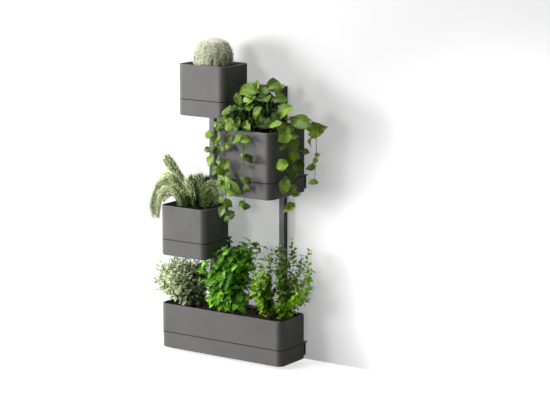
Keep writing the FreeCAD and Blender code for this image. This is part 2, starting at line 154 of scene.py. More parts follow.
def shapes_at(tree, points, given, rotation, scale, selection=True):
    """Shapes picked at random from a tree's collection and set on points."""
    inputs = {"Collection": given["Shapes"], "Separate Children": True, "Reset Children": True}
    shapes = add(tree, "GeometryNodeCollectionInfo", inputs).outputs[0]
    inputs = {"Points": points, "Selection": selection, "Instance": shapes, "Pick Instance": True,
              "Instance Index": random_pick(tree, given["Shape Count"], given["Seed"]),
              "Rotation": rotation, "Scale": scale}
    return add(tree, "GeometryNodeInstanceOnPoints", inputs).outputs[0]


def realized(tree, instances, material):
    """Instances as one mesh with a material."""
    mesh = add(tree, "GeometryNodeRealizeInstances", {"Geometry": instances}).outputs[0]
    return add(tree, "GeometryNodeSetMaterial", {"Geometry": mesh, "Material": material}).outputs[0]


def stem_tree():
    """Leaves along stems: whorls at a steady spacing, each turned on from the last."""
    tree = bpy.data.node_groups.new("Leaves along stems", "GeometryNodeTree")
    given, result = sockets(tree, {
        "Stems": ("Geometry", None), "Shapes": ("Collection", None), "Shape Count": ("Int", 1),
        "Spacing": ("Float", 0.01), "Leaves per Node": ("Int", 2), "Turn": ("Float", math.pi / 2),
        "Turn Spread": ("Float", 0.3), "Tilt": ("Float", 1.0), "Tilt Spread": ("Float", 0.25),
        "Size": ("Float", 0.02), "Size Spread": ("Float", 0.25), "Bare Share": ("Float", 0.1),
        "Seed": ("Int", 1), "Finish": ("Material", None)}, {"Leaves": "Geometry"})
    seed = given["Seed"]
    lines = add(tree, "GeometryNodeMeshToCurve", {"Mesh": given["Stems"]}).outputs[0]
    inputs = {"Curve": lines, "Length": given["Spacing"]}
    lines = add(tree, "GeometryNodeResampleCurve", inputs, mode="LENGTH").outputs[0]
    place = add(tree, "GeometryNodeSplineParameter").outputs
    lines = store(tree, lines, "along", place["Factor"])
    lines = store(tree, lines, "step", place["Index"])
    tangent = add(tree, "GeometryNodeInputTangent").outputs[0]
    lines = store(tree, lines, "way", tangent, "FLOAT_VECTOR")
    points = add(tree, "GeometryNodeCurveToPoints", {"Curve": lines}, mode="EVALUATED").outputs[0]
    inputs = {"Geometry": points, "Amount": given["Leaves per Node"]}
    copies = add(tree, "GeometryNodeDuplicateElements", inputs, domain="POINT").outputs
    angle = calc(tree, "MULTIPLY", attribute(tree, "step"), given["Turn"])
    share = calc(tree, "DIVIDE", 2 * math.pi, given["Leaves per Node"])
    angle = calc(tree, "ADD", angle, calc(tree, "MULTIPLY", copies["Duplicate Index"], share))
    angle = spread_about(tree, angle, given["Turn Spread"], seed, 1)
    tilt = spread_about(tree, given["Tilt"], given["Tilt Spread"], seed, 2)
    inputs = {"Vector": attribute(tree, "way", "FLOAT_VECTOR")}
    rotation = add(tree, "FunctionNodeAlignRotationToVector", inputs, axis="Z").outputs[0]
    rotation = turned(tree, rotation, (0, 0, 1), angle)
    rotation = turned(tree, rotation, (0, 1, 0), tilt)
    least = calc(tree, "SUBTRACT", 1.0, given["Size Spread"])
    size = calc(tree, "MULTIPLY", given["Size"], random_value(tree, least, 1.0, seed, 3))
    size = calc(tree, "MULTIPLY", size, attribute(tree, "girth"))
    clothed = calc(tree, "GREATER_THAN", attribute(tree, "along"), given["Bare Share"])
    leaves = shapes_at(tree, copies["Geometry"], given, rotation, size, clothed)
    tone = spread_about(tree, attribute(tree, "shade"), TONE_SPREAD, seed, 4)
    leaves = store(tree, leaves, "tone", tone, domain="INSTANCE")
    put(tree, result["Leaves"], realized(tree, leaves, given["Finish"]))
    return tree


def mark_tree():
    """Leaves, spines or hairs at marks that carry their own turn, size and tone."""
    tree = bpy.data.node_groups.new("Shapes at marks", "GeometryNodeTree")
    given, result = sockets(tree, {
        "Marks": ("Geometry", None), "Shapes": ("Collection", None), "Shape Count": ("Int", 1),
        "Size": ("Float", 1.0), "Seed": ("Int", 1), "Finish": ("Material", None)}, {"Shapes": "Geometry"})
    size = calc(tree, "MULTIPLY", attribute(tree, "size"), given["Size"])
    shapes = shapes_at(tree, given["Marks"], given, attribute(tree, "turn", "QUATERNION"), size)
    put(tree, result["Shapes"], realized(tree, shapes, given["Finish"]))
    return tree


def crumb_tree():
    """Crumbs strewn over the top of a bed of soil, joined with it."""
    tree = bpy.data.node_groups.new("Crumbs on soil", "GeometryNodeTree")
    given, result = sockets(tree, {
        "Bed": ("Geometry", None), "Shapes": ("Collection", None), "Shape Count": ("Int", 1),
        "Density": ("Float", 20000.0), "Least Size": ("Float", 0.002), "Most Size": ("Float", 0.006),
        "Seed": ("Int", 1), "Finish": ("Material", None)}, {"Soil": "Geometry"})
    up = add(tree, "ShaderNodeSeparateXYZ", {0: add(tree, "GeometryNodeInputNormal").outputs[0]}).outputs[2]
    inputs = {"Mesh": given["Bed"], "Selection": calc(tree, "GREATER_THAN", up, 0.5),
              "Density": given["Density"], "Seed": given["Seed"]}
    points = add(tree, "GeometryNodeDistributePointsOnFaces", inputs).outputs[0]
    inputs = {0: (0.0, 0.0, 0.0), 1: (FULL_TURN, FULL_TURN, FULL_TURN), "Seed": given["Seed"]}
    spin = add(tree, "FunctionNodeRandomValue", inputs, data_type="FLOAT_VECTOR").outputs[0]
    spin = add(tree, "FunctionNodeEulerToRotation", {"Euler": spin}).outputs[0]
    size = random_value(tree, given["Least Size"], given["Most Size"], given["Seed"], 3)
    crumbs = shapes_at(tree, points, given, spin, size)
    tone = random_value(tree, 0.0, 1.0, given["Seed"], 5)
    crumbs = store(tree, crumbs, "tone", tone, domain="INSTANCE")
    join = add(tree, "GeometryNodeJoinGeometry")
    for part in (given["Bed"], crumbs):
        tree.links.new(part, join.inputs[0])
    put(tree, result["Soil"], realized(tree, join.outputs[0], given["Finish"]))
    return tree


STEM_TREE, MARK_TREE, CRUMB_TREE = stem_tree(), mark_tree(), crumb_tree()


def settle(piece, body, replaced=None):
    """Let a finished piece ride on its body, in place of a node."""
    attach(piece, body)
    if replaced:
        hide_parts(replaced)


def grown(name, mesh, tree, values):
    """Object whose mesh is what a tree grows on a mesh."""
    piece = bpy.data.objects.new(name, mesh)
    scene.collection.objects.link(piece)
    growth = piece.modifiers.new("Growth", "NODES")
    growth.node_group = tree
    for socket in tree.interface.items_tree:
        if socket.in_out == "INPUT" and socket.name in values:
            growth[socket.identifier] = values[socket.name]
    graph = bpy.context.evaluated_depsgraph_get()
    result = bpy.data.meshes.new_from_object(piece.evaluated_get(graph), preserve_all_data_layers=True, depsgraph=graph)
    piece.modifiers.clear()
    piece.data = result
    result.name = name
    return piece


def plain_piece(name, mesh, material):
    """Object of a ready mesh with one material."""
    piece = bpy.data.objects.new(name, mesh)
    mesh.materials.append(material)
    scene.collection.objects.link(piece)
    return piece


# Shapes

RIM_RIPPLE, RIPPLE_LAG = 11, 2  # waves of a leaf's rim along it and across it, in radians
LOBE_REACH = 0.3  # share of a leaf's length that its lobes bend
CRUMB_FLATNESS = 0.7
NEEDLE_SIDES = 3


def mesh_of(name, vertices, faces=(), edges=(), smooth=True):
    """Mesh from lists."""
    mesh = bpy.data.meshes.new(name)
    mesh.from_pydata([tuple(v) for v in vertices], edges, faces)
    if smooth:
        mesh.shade_smooth()
    return mesh


def finished(bm, name):
    """Mesh of a finished bmesh, which is freed."""
    mesh = bpy.data.meshes.new(name)
    bm.to_mesh(mesh)
    bm.free()
    return mesh


def shape_set(name, meshes):
    """Collection of shapes to pick from, kept out of the scene."""
    collection = bpy.data.collections.new(name)
    for i, mesh in enumerate(meshes):
        collection.objects.link(bpy.data.objects.new(f"{name}_{i}", mesh))
    return collection


def leaf_shape(name, half_widths, fold, curl, wave, thickness, columns, rows, lobes=0.0):
    """Closed thin leaf of length 1 along +Z: its upper face towards -X, a sharp rim, and lobes beside its stalk."""
    bm = bmesh.new()
    uv = bm.loops.layers.uv.new("UVMap")
    under = bm.faces.layers.int.new("under")
    v, u = np.linspace(0, 1, rows + 1), np.linspace(-1, 1, columns + 1)
    if lobes:
        v = (1 - np.cos(math.pi * v)) / 2
    width = np.interp(v, np.linspace(0, 1, len(half_widths)), half_widths)
    bend = curl * v
    middle = (bend[1:] + bend[:-1]) / 2
    out = np.concatenate([[0], np.cumsum(np.sin(middle) * np.diff(v))])
    rise = np.concatenate([[0], np.cumsum(np.cos(middle) * np.diff(v))])
    for side in (0, 1):
        grid = []
        for i in range(rows + 1):
            for k in range(columns + 1):
                across = u[k] * width[i]
                ripple = math.sin(RIM_RIPPLE * v[i] + RIPPLE_LAG * u[k])
                lift = fold * abs(across) + wave * ripple * u[k] ** 2 * width[i]
                body = thickness * (1 - u[k] ** 2) * math.sqrt(max(0.0, 4 * v[i] * (1 - v[i])))
                lift += -body if side else body
                drop = lobes * math.sin(math.pi * abs(u[k])) * max(0.0, 1 - v[i] / LOBE_REACH) ** 2
                height = rise[i] + math.sin(bend[i]) * lift - drop
                grid.append(bm.verts.new((out[i] - math.cos(bend[i]) * lift, across, height)))
        for i in range(rows):
            for k in range(columns):
                corners = [(i, k), (i, k + 1), (i + 1, k + 1), (i + 1, k)]
                corners = corners if side else corners[::-1]
                face = bm.faces.new([grid[a * (columns + 1) + b] for a, b in corners])
                face[under], face.smooth = side, True
                for loop, (a, b) in zip(face.loops, corners):
                    loop[uv].uv = (side + (u[b] + 1) / 2, v[a])
    bmesh.ops.remove_doubles(bm, verts=bm.verts, dist=1e-5)
    for edge in bm.edges:
        edge.smooth = len({face[under] for face in edge.link_faces}) < 2
    return finished(bm, name)


def needle_shape(name, width, bend, rows=2, blunt=0.3, flat=1.0):
    """Closed needle of length 1 along +Z, bent towards -X and flat on that side, with its length as V of its UV map."""
    bm = bmesh.new()
    uv = bm.loops.layers.uv.new("UVMap")
    rings = []
    for i in range(rows):
        t = i / rows
        size = width * (1.0 - blunt * t) * (0.8 if i == 0 else 1.0)
        turns = [2 * math.pi * k / NEEDLE_SIDES for k in range(NEEDLE_SIDES)]
        rings.append([bm.verts.new((-bend * t * t + flat * size * math.cos(turn), size * math.sin(turn), t))
                      for turn in turns])
    tip = bm.verts.new((-bend, 0, 1))
    bm.faces.new(rings[0][::-1])
    for k in range(NEEDLE_SIDES):
        j = (k + 1) % NEEDLE_SIDES
        for lower, upper in zip(rings, rings[1:]):
            bm.faces.new([lower[k], lower[j], upper[j], upper[k]])
        bm.faces.new([rings[-1][k], rings[-1][j], tip])
    for face in bm.faces:
        face.smooth = True
        for loop in face.loops:
            loop[uv].uv = (0.5, loop.vert.co.z)
    return finished(bm, name)


def lump_shape(name, rng):
    """Rough closed crumb of unit radius."""
    bm = bmesh.new()
    bmesh.ops.create_icosphere(bm, subdivisions=1, radius=1.0)
    for vertex in bm.verts:
        vertex.co *= rng.uniform(0.65, 1.15)
        vertex.co.z *= CRUMB_FLATNESS
    return finished(bm, name)


def through(points, steps):
    """Smooth path through points, with a number of steps from each to the next."""
    p = np.asarray(points, float)
    ends = np.vstack([2 * p[0] - p[1], p, 2 * p[-1] - p[-2]])
    path = [p[0]]
    for a, b, c, d in zip(ends, ends[1:], ends[2:], ends[3:]):
        for t in np.arange(1, steps + 1) / steps:
            path.append(b + (c - a) * t / 2 + (2 * a - 5 * b + 4 * c - d) * t * t / 2
                        + (3 * b - a - 3 * c + d) * t ** 3 / 2)
    return np.array(path)


def unit(vector):
    """Vector of length 1."""
    vector = np.asarray(vector, float)
    return vector / max(np.linalg.norm(vector), 1e-9)


def tube_mesh(name, paths, radii, sides):
    """Closed round stems along paths, each with a radius at its root and at its tip."""
    vertices, faces = [], []
    for path, (root, tip) in zip(paths, radii):
        first, count = len(vertices), len(path)
        across = np.array([1.0, 0.0, 0.0])
        for i, point in enumerate(path):
            along = unit(path[min(i + 1, count - 1)] - path[max(i - 1, 0)])
            if abs(across @ along) > 0.9:
                across = np.array([0.0, 1.0, 0.0])
            across = unit(across - along * (across @ along))
            other = np.cross(along, across)
            radius = root + (tip - root) * i / (count - 1)
            for k in range(sides):
                a = 2 * math.pi * k / sides
                vertices.append(point + (across * math.cos(a) + other * math.sin(a)) * radius)
        for i in range(count - 1):
            for k in range(sides):
                a, b = first + i * sides + k, first + i * sides + (k + 1) % sides
                faces.append((a, b, b + sides, a + sides))
        faces.append(tuple(range(first + sides - 1, first - 1, -1)))
        faces.append(tuple(range(first + (count - 1) * sides, first + count * sides)))
    return mesh_of(name, vertices, faces)


def line_mesh(name, paths, girths, shades):
    """Stems as lines, with a girth at each point, and a shade for each stem or point."""
    vertices, edges, girth, shade = [], [], [], []
    for path, width, tone in zip(paths, girths, shades):
        edges += [(len(vertices) + i, len(vertices) + i + 1) for i in range(len(path) - 1)]
        vertices += list(path)
        girth += list(width)
        shade += list(np.broadcast_to(tone, len(path)))
    mesh = mesh_of(name, vertices, edges=edges, smooth=False)
    for key, values in (("girth", girth), ("shade", shade)):
        mesh.attributes.new(key, "FLOAT", "POINT").data.foreach_set("value", np.array(values, np.float32))
    return mesh


def mark_mesh(name, marks):
    """Marks (place, axis, upper side, size, tone) as points for the mark tree."""
    mesh = mesh_of(name, [m[0] for m in marks], smooth=False)
    turns = mesh.attributes.new("turn", "QUATERNION", "POINT")
    for item, (_, axis, upper, _, _) in zip(turns.data, marks):
        axis = unit(axis)
        x = -unit(upper - axis * (axis @ upper))
        y = np.cross(axis, x)
        item.value = Matrix(np.column_stack([x, y, axis]).tolist()).to_quaternion()
    for key, index in (("size", 3), ("tone", 4)):
        values = np.array([m[index] for m in marks], np.float32)
        mesh.attributes.new(key, "FLOAT", "POINT").data.foreach_set("value", values)
    return mesh


# Finishes

FLECK_LIGHTER = 1.5
SEAM_SHADE = (0.0010, 0.0020)  # painted shade in the seam's gap: full this near a seam, and none further off, in metres
SEAM_SHADE_RAGGED = 0.0006  # unevenness of that painted shade
SEAM_ABOVE_BASE = 0.0643  # height of a pot's seam above its underside
PATCH_SCALE = 55.0  # of the uneven tone of leaves
NOISE_RANGE = (0.3, 0.7)  # of soft noise, which finishes stretch to their own ranges


def object_place(tree):
    """Place on a piece, in the frame of the model."""
    return add(tree, "ShaderNodeTexCoord").outputs["Object"]


def height_on(tree):
    """Height on a piece, in the frame of the model."""
    return add(tree, "ShaderNodeSeparateXYZ", {0: object_place(tree)}).outputs[2]


def cloud(tree, scale, detail):
    """Soft noise over a piece."""
    inputs = {"Vector": object_place(tree), "Scale": scale, "Detail": detail}
    return add(tree, "ShaderNodeTexNoise", inputs).outputs[0]


def tone_of(tree):
    """Tone that each leaf, needle or crumb carries."""
    return add(tree, "ShaderNodeAttribute", attribute_name="tone").outputs["Fac"]


def grain_group():
    """Fine grain of a moulded or coated surface, with soft large mottling."""
    tree = bpy.data.node_groups.new("Surface grain", "ShaderNodeTree")
    given, result = sockets(tree, {"Grain Size": ("Float", 0.001), "Mottle Size": ("Float", 0.05)},
                            {"Height": "Float", "Mottle": "Float", "Fleck": "Float"})
    fine = calc(tree, "DIVIDE", 1.0, given["Grain Size"])
    pits = cloud(tree, fine, 2.0)
    mottle = cloud(tree, calc(tree, "DIVIDE", 1.0, given["Mottle Size"]), 5.0)
    inputs = {"Vector": object_place(tree), "Scale": calc(tree, "MULTIPLY", fine, 0.25)}
    fleck = add(tree, "ShaderNodeTexVoronoi", inputs).outputs[0]
    put(tree, result["Height"], pits)
    put(tree, result["Mottle"], remap(tree, mottle, *NOISE_RANGE, 0.0, 1.0))
    put(tree, result["Fleck"], remap(tree, fleck, 0.0, 0.22, 1.0, 0.0))
    return tree


def skin_group():
    """Veins and sides of a leaf, from its UV map: U is 0 to 1 on top and 1 to 2 below, V runs to the tip."""
    tree = bpy.data.node_groups.new("Leaf skin", "ShaderNodeTree")
    outputs = dict.fromkeys(("Vein", "Swell", "Underside", "Across", "Along"), "Float")
    given, result = sockets(tree, {"Veins": ("Float", 6.0), "Slant": ("Float", 1.2)}, outputs)
    uv = add(tree, "ShaderNodeSeparateXYZ", {0: add(tree, "ShaderNodeTexCoord").outputs["UV"]}).outputs
    across = calc(tree, "SUBTRACT", calc(tree, "FRACT", uv[0]), 0.5)
    across = calc(tree, "MULTIPLY", calc(tree, "ABSOLUTE", across), 2.0)
    midrib = remap(tree, across, 0.02, 0.13, 1.0, 0.0, smooth=True)
    slant = calc(tree, "MULTIPLY", across, given["Slant"])
    wave = calc(tree, "FRACT", calc(tree, "SUBTRACT", calc(tree, "MULTIPLY", uv[1], given["Veins"]), slant))
    line = calc(tree, "MULTIPLY", calc(tree, "ABSOLUTE", calc(tree, "SUBTRACT", wave, 0.5)), 2.0)
    side_veins = calc(tree, "MULTIPLY", remap(tree, line, 0.78, 1.0, 0.0, 1.0, smooth=True), 0.6)
    put(tree, result["Vein"], calc(tree, "MAXIMUM", midrib, side_veins))
    furrow = calc(tree, "MAXIMUM", midrib, calc(tree, "POWER", line, 2.0))
    put(tree, result["Swell"], calc(tree, "SUBTRACT", 1.0, furrow))
    put(tree, result["Underside"], calc(tree, "GREATER_THAN", uv[0], 1.0))
    put(tree, result["Across"], across)
    put(tree, result["Along"], uv[1])
    return tree


GRAIN, SKIN = grain_group(), skin_group()


def new_material(name):
    """Material, its tree and its main shader."""
    material = bpy.data.materials.new(name)
    material.use_nodes = True
    tree = material.node_tree
    return material, tree, tree.nodes["Principled BSDF"].inputs


def group(tree, content, **values):
    """A shared shader group placed in a material, with its inputs."""
    node = add(tree, "ShaderNodeGroup", node_tree=content)
    for name, value in values.items():
        put(tree, node.inputs[name.replace("_", " ")], value)
    return node.outputs


def bump(tree, height, distance, strength=1.0):
    """Normal bent by a height."""
    inputs = {"Height": height, "Distance": distance, "Strength": strength}
    return add(tree, "ShaderNodeBump", inputs).outputs[0]


def dress(tree, shader, base, roughness, normal=None, gloss=0.5):
    """Give a main shader its colour, roughness, normal and strength of gloss."""
    put(tree, shader["Base Color"], base)
    put(tree, shader["Roughness"], roughness)
    if normal is not None:
        put(tree, shader["Normal"], normal)
    shader["Specular IOR Level"].default_value = gloss


def colour(red, green, blue):
    """Colour with full alpha from sRGB values of 0 to 255."""
    values = [c / 255 for c in (red, green, blue)]
    return [v / 12.92 if v <= 0.04045 else ((v + 0.055) / 1.055) ** 2.4 for v in values] + [1.0]


def moulded(name, dark, light, roughness, grain_size, depth, fleck=0.0, seam=None):
    """Matt moulded plastic or coated metal: its grain, a share of pale flecks, and painted shade along a seam at a
    height.
    """
    material, tree, shader = new_material(name)
    grain = group(tree, GRAIN, Grain_Size=grain_size, Mottle_Size=0.06)
    base = mix(tree, grain["Mottle"], dark, light)
    pale = [min(1.0, c * FLECK_LIGHTER) for c in light[:3]] + [1.0]
    base = mix(tree, calc(tree, "MULTIPLY", grain["Fleck"], fleck), base, pale)
    if seam is not None:
        # Painted shade: a dark band along the seam's gap, standing in for the shadow inside it.
        off = calc(tree, "ABSOLUTE", calc(tree, "SUBTRACT", height_on(tree), seam))
        off = calc(tree, "SUBTRACT", off, calc(tree, "MULTIPLY", grain["Mottle"], SEAM_SHADE_RAGGED))
        base = mix(tree, remap(tree, off, *SEAM_SHADE, 1.0, 0.0, smooth=True), base, colour(50, 49, 49))
    rough = remap(tree, grain["Mottle"], 0.0, 1.0, roughness + 0.06, roughness - 0.06)
    dress(tree, shader, base, rough, bump(tree, grain["Height"], depth), 0.2)
    return material


def leafy(name, deep, bright, below, vein, roughness, veins, vein_share, swell, slant=1.2, rim=None):
    """Leaf finish that runs from deep to bright by each leaf's tone, with veins and a paler underside."""
    material, tree, shader = new_material(name)
    skin = group(tree, SKIN, Veins=veins, Slant=slant)
    patch = cloud(tree, PATCH_SCALE, 3.0)
    tone = calc(tree, "ADD", tone_of(tree), remap(tree, patch, *NOISE_RANGE, -0.16, 0.16))
    base = mix(tree, calc(tree, "MINIMUM", calc(tree, "MAXIMUM", tone, 0.0), 1.0), deep, bright)
    if rim:
        edge = calc(tree, "ADD", skin["Across"], remap(tree, patch, *NOISE_RANGE, -0.25, 0.25))
        share = remap(tree, edge, 0.34, 0.6, 0.0, 1.0, smooth=True)
        # The pale rim fades where the tone is low, so painted shade carried in the tone dims it too.
        share = calc(tree, "MULTIPLY", share, remap(tree, tone, 0.1, 0.6, 0.3, 1.0))
        base = mix(tree, share, base, rim)
    base = mix(tree, calc(tree, "MULTIPLY", skin["Vein"], vein_share), base, vein)
    base = mix(tree, calc(tree, "MULTIPLY", skin["Underside"], 0.7), base, below)
    rough = calc(tree, "ADD", remap(tree, patch, *NOISE_RANGE, roughness - 0.07, roughness + 0.07),
                 calc(tree, "MULTIPLY", skin["Underside"], 0.2))
    dress(tree, shader, base, rough, bump(tree, skin["Swell"], swell, 0.6), 0.24)
    return material


def fibrous(name, dark, light):
    """Stem finish with soft streaks."""
    material, tree, shader = new_material(name)
    grain = group(tree, GRAIN, Grain_Size=0.0012, Mottle_Size=0.012)
    rough = remap(tree, grain["Height"], 0.0, 1.0, 0.5, 0.7)
    dress(tree, shader, mix(tree, grain["Mottle"], dark, light), rough, bump(tree, grain["Height"], 0.0004))
    return material


def pointed(name, root, middle, tip, roughness=0.5):
    """Needle or spine finish that runs from root to tip along its UV map, varied by tone."""
    material, tree, shader = new_material(name)
    along = group(tree, SKIN)["Along"]
    lighter = calc(tree, "MULTIPLY", calc(tree, "SUBTRACT", tone_of(tree), 0.5), 0.5)
    along = calc(tree, "ADD", along, lighter)
    base = mix(tree, remap(tree, along, 0.05, 0.5, 0.0, 1.0), root, middle)
    base = mix(tree, remap(tree, along, 0.5, 1.0, 0.0, 1.0), base, tip)
    rough = remap(tree, along, 0.0, 1.0, roughness + 0.1, roughness - 0.1)
    dress(tree, shader, base, rough, gloss=0.3)
    return material


def earthy(name):
    """Dark potting soil with paler fibres and crumbs."""
    material, tree, shader = new_material(name)
    grain = group(tree, GRAIN, Grain_Size=0.0022, Mottle_Size=0.018)
    base = mix(tree, grain["Mottle"], colour(30, 21, 15), colour(58, 42, 31))
    base = mix(tree, remap(tree, tone_of(tree), 0.55, 1.0, 0.0, 0.6), base, colour(88, 68, 50))
    rough = remap(tree, grain["Mottle"], 0.0, 1.0, 0.95, 0.8)
    dress(tree, shader, base, rough, bump(tree, grain["Height"], 0.0015))
    return material


def pot_grey(pot):
    """Plastic of one pot, with painted shade along its own seam."""
    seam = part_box(pot + "_reservoir")[0].z + SEAM_ABOVE_BASE
    dark, light = colour(114, 113, 112), colour(120, 119, 118)
    return moulded(pot + "_pot_plastic", dark, light, 0.62, 0.0011, 0.00018, 0.08, seam)


POT_GREY = {pot: pot_grey(pot) for pot in POTS}
# After the two greys: roughness, size and depth of the grain in metres, and share of pale flecks
HANGER_GREY = moulded("hanger_plastic", colour(58, 58, 58), colour(68, 68, 67), 0.55, 0.0009, 0.00015, 0.05)
GRATE_GREY = moulded("grate_plastic", colour(48, 48, 48), colour(58, 58, 57), 0.5, 0.0009, 0.00015)
FRAME_GREY = moulded("frame_coating", colour(126, 126, 126), colour(136, 136, 135), 0.5, 0.0007, 0.00010, 0.06)
JOINT_GREY = moulded("joining_plastic", colour(88, 88, 88), colour(100, 100, 99), 0.55, 0.0009, 0.00012, 0.05)
SOIL_DARK = earthy("potting_soil")


def finish_nodes():
    """Finishes of the frame and the pots."""
    by_ending = {"hanger": HANGER_GREY, "soil_grate": GRATE_GREY, "upright": FRAME_GREY, "rail": FRAME_GREY,
                 "hook": FRAME_GREY, "corner_piece": JOINT_GREY, "end_caps": JOINT_GREY}
    by_ending.update({f"{pot}_{part}": grey for pot, grey in POT_GREY.items() for part in ("planter", "reservoir")})
    for name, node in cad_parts.items():
        for ending, material in by_ending.items():
            if name.endswith(ending):
                node.data.materials.clear()
                node.data.materials.append(material)


finish_nodes()


# Soil

RING_STEP = 0.012  # longest side of the bed's facets, in metres
BED_RINGS = 12
BED_CORNER = 0.0225
BED_ROUGH, ROUGH_SCALE = 0.006, 28
BED_CROWN, BED_SINK = 0.004, 0.003
OFF_GRATE = 0.0003
CRUMB_SHAPES = 4


def rounded_ring(width, depth, radius, count):
    """Points round a rounded rectangle about the origin, evenly by angle of its corners and sides."""
    points = []
    for turn, (sx, sy) in enumerate(((1, 1), (-1, 1), (-1, -1), (1, -1))):
        for step in range(count):
            a = math.pi / 2 * (turn + step / (count - 1))
            x, y = sx * (width / 2 - radius), sy * (depth / 2 - radius)
            points.append((x + radius * math.cos(a), y + radius * math.sin(a)))
    full = []
    for start, end in zip(points, points[1:] + points[:1]):
        gap = math.dist(start, end)
        parts = max(1, round(gap / RING_STEP))
        full += [(start[0] + (end[0] - start[0]) * i / parts, start[1] + (end[1] - start[1]) * i / parts)
                 for i in range(parts)]
    return np.array(full)


def soil_bed(pot, seed):
    """Uneven bed of soil in a planter, strewn with crumbs."""
    low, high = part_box(pot + "_soil")
    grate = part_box(pot + "_soil_grate")[1]
    centre = (low + high) / 2
    ring = rounded_ring(high.x - low.x, high.y - low.y, BED_CORNER, 6)
    count = len(ring)
    vertices, faces = [], []
    for level in range(BED_RINGS):
        share = 1 - level / (BED_RINGS - 0.5)
        for x, y in ring * share:
            place = Vector((x * ROUGH_SCALE + seed, y * ROUGH_SCALE, 0.0))
            rough = noise.fractal(place, 0.9, 2.1, 4) * BED_ROUGH
            crown = BED_CROWN * (1 - share) - BED_SINK
            vertices.append((centre.x + x, centre.y + y, high.z + crown + rough))
    top = len(vertices)
    vertices.append((centre.x, centre.y, high.z))
    bottom = len(vertices)
    vertices += [(centre.x + x, centre.y + y, grate.z + OFF_GRATE) for x, y in ring]
    for k in range(count):
        j = (k + 1) % count
        for level in range(BED_RINGS - 1):
            a, b = level * count + k, level * count + j
            faces.append((a, b, b + count, a + count))
        last = (BED_RINGS - 1) * count
        faces.append((last + k, last + j, top))
        faces.append((bottom + k, bottom + j, j, k))
    faces.append(tuple(range(bottom + count - 1, bottom - 1, -1)))
    rng = np.random.default_rng(seed)
    lumps = shape_set(pot + "_lumps", [lump_shape(f"{pot}_lump", rng) for _ in range(CRUMB_SHAPES)])
    values = {"Shapes": lumps, "Shape Count": CRUMB_SHAPES, "Density": 26000.0, "Least Size": 0.0012,
              "Most Size": 0.0046, "Seed": seed, "Finish": SOIL_DARK}
    piece = grown(pot + "_soil_bed", mesh_of(pot + "_bed", vertices, faces), CRUMB_TREE, values)
    settle(piece, pot + "_planter", pot + "_soil")


for pot_seed, pot_name in enumerate(POTS, 3):
    soil_bed(pot_name, pot_seed)


# Plants


class Ground:
    """Middle of a pot's soil, from which its plants are placed."""

    def __init__(self, pot):
        low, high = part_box(pot + "_soil")
        self.body = pot + "_planter"
        self.middle = np.array([(low.x + high.x) / 2, (low.y + high.y) / 2, high.z])

    def at(self, *place):
        """Point given in millimetres from the middle of the soil."""
        return self.middle + np.array(place, float) * MM


def round_stems(name, paths, sizes, finish, ground, sides=5):
    """Piece of round stems along paths, which rides with its pot."""
    settle(plain_piece(name, tube_mesh(name, paths, sizes, sides), finish), ground.body)


STEM_BROWN = fibrous("brown_stems", colour(84, 70, 44), colour(120, 104, 66))
STEM_GREEN = fibrous("green_stems", colour(78, 104, 44), colour(116, 142, 66))


# Cactus

CACTUS_RIBS = 16
CACTUS_RADIUS, CACTUS_RISE = 0.0710, 0.073
CACTUS_CENTRE = 34.0  # height of its waist above the soil, in millimetres
CACTUS_SLOPES = (-31, 89)  # from its foot to its crown, in degrees
GROOVE_DEPTH = 0.12  # share of the radius
RIB_COLUMNS, CACTUS_ROWS = 8, 34
SPINE_SLOPES, SPINE_STEP = (-25, 60), 9.0  # degrees
SPINES, STARS = 12, 6  # spines of a star, and shapes of star
WOOL_HAIRS, WOOL_SPREAD = 900, 42  # number of hairs, and how far from the top they grow, in degrees
WOOL_WHITE = colour(254, 248, 238)
WOOL_LEVELS = (0.048, 0.058)  # where the skin turns to wool, above the waist, in metres


def cactus_point(angle, slope, groove):
    """Point of the cactus by angle round it and slope up from its waist, at a share of the groove's depth."""
    fade = min(1.0, math.cos(slope) * 2.6)
    radius = CACTUS_RADIUS * math.cos(slope) ** 0.8 * (1 - GROOVE_DEPTH * groove * fade)
    rise = CACTUS_RISE * math.sin(slope)
    return np.array([radius * math.cos(angle), radius * math.sin(angle), rise])


def cactus_body(centre):
    """Ribbed globe."""
    columns, rows = CACTUS_RIBS * RIB_COLUMNS, CACTUS_ROWS
    vertices, faces = [], []
    for slope in np.radians(np.linspace(*CACTUS_SLOPES, rows)):
        for k in range(columns):
            groove = 1 - abs(math.cos(math.pi * k / RIB_COLUMNS)) ** 0.75
            vertices.append(centre + cactus_point(2 * math.pi * k / columns, slope, groove))
    for i in range(rows - 1):
        for k in range(columns):
            a, b = i * columns + k, i * columns + (k + 1) % columns
            faces.append((a, b, b + columns, a + columns))
    faces.append(tuple(range(columns - 1, -1, -1)))
    faces.append(tuple(range((rows - 1) * columns, rows * columns)))
    return mesh_of("cactus_body", vertices, faces)


def spine_star(name, rng):
    """Star of spines, standing on the XY plane."""
    bm = bmesh.new()
    for i in range(SPINES):
        lean = math.radians(rng.uniform(56, 85) if i > 1 else rng.uniform(10, 40))
        turn = 2 * math.pi * i / (SPINES - 2) + rng.uniform(-0.3, 0.3)
        length = rng.uniform(0.7, 1.0) * (0.7 + 0.3 * abs(math.sin(turn)) if i > 1 else 0.75)
        needle = needle_shape(name + "_spine", 0.100, rng.uniform(-0.05, 0.15), blunt=0.2, flat=0.35)
        spin = Matrix.Rotation(turn, 4, "Z") @ Matrix.Rotation(lean, 4, "Y") @ Matrix.Scale(length, 4)
        needle.transform(spin)
        bm.from_mesh(needle)
    return finished(bm, name)


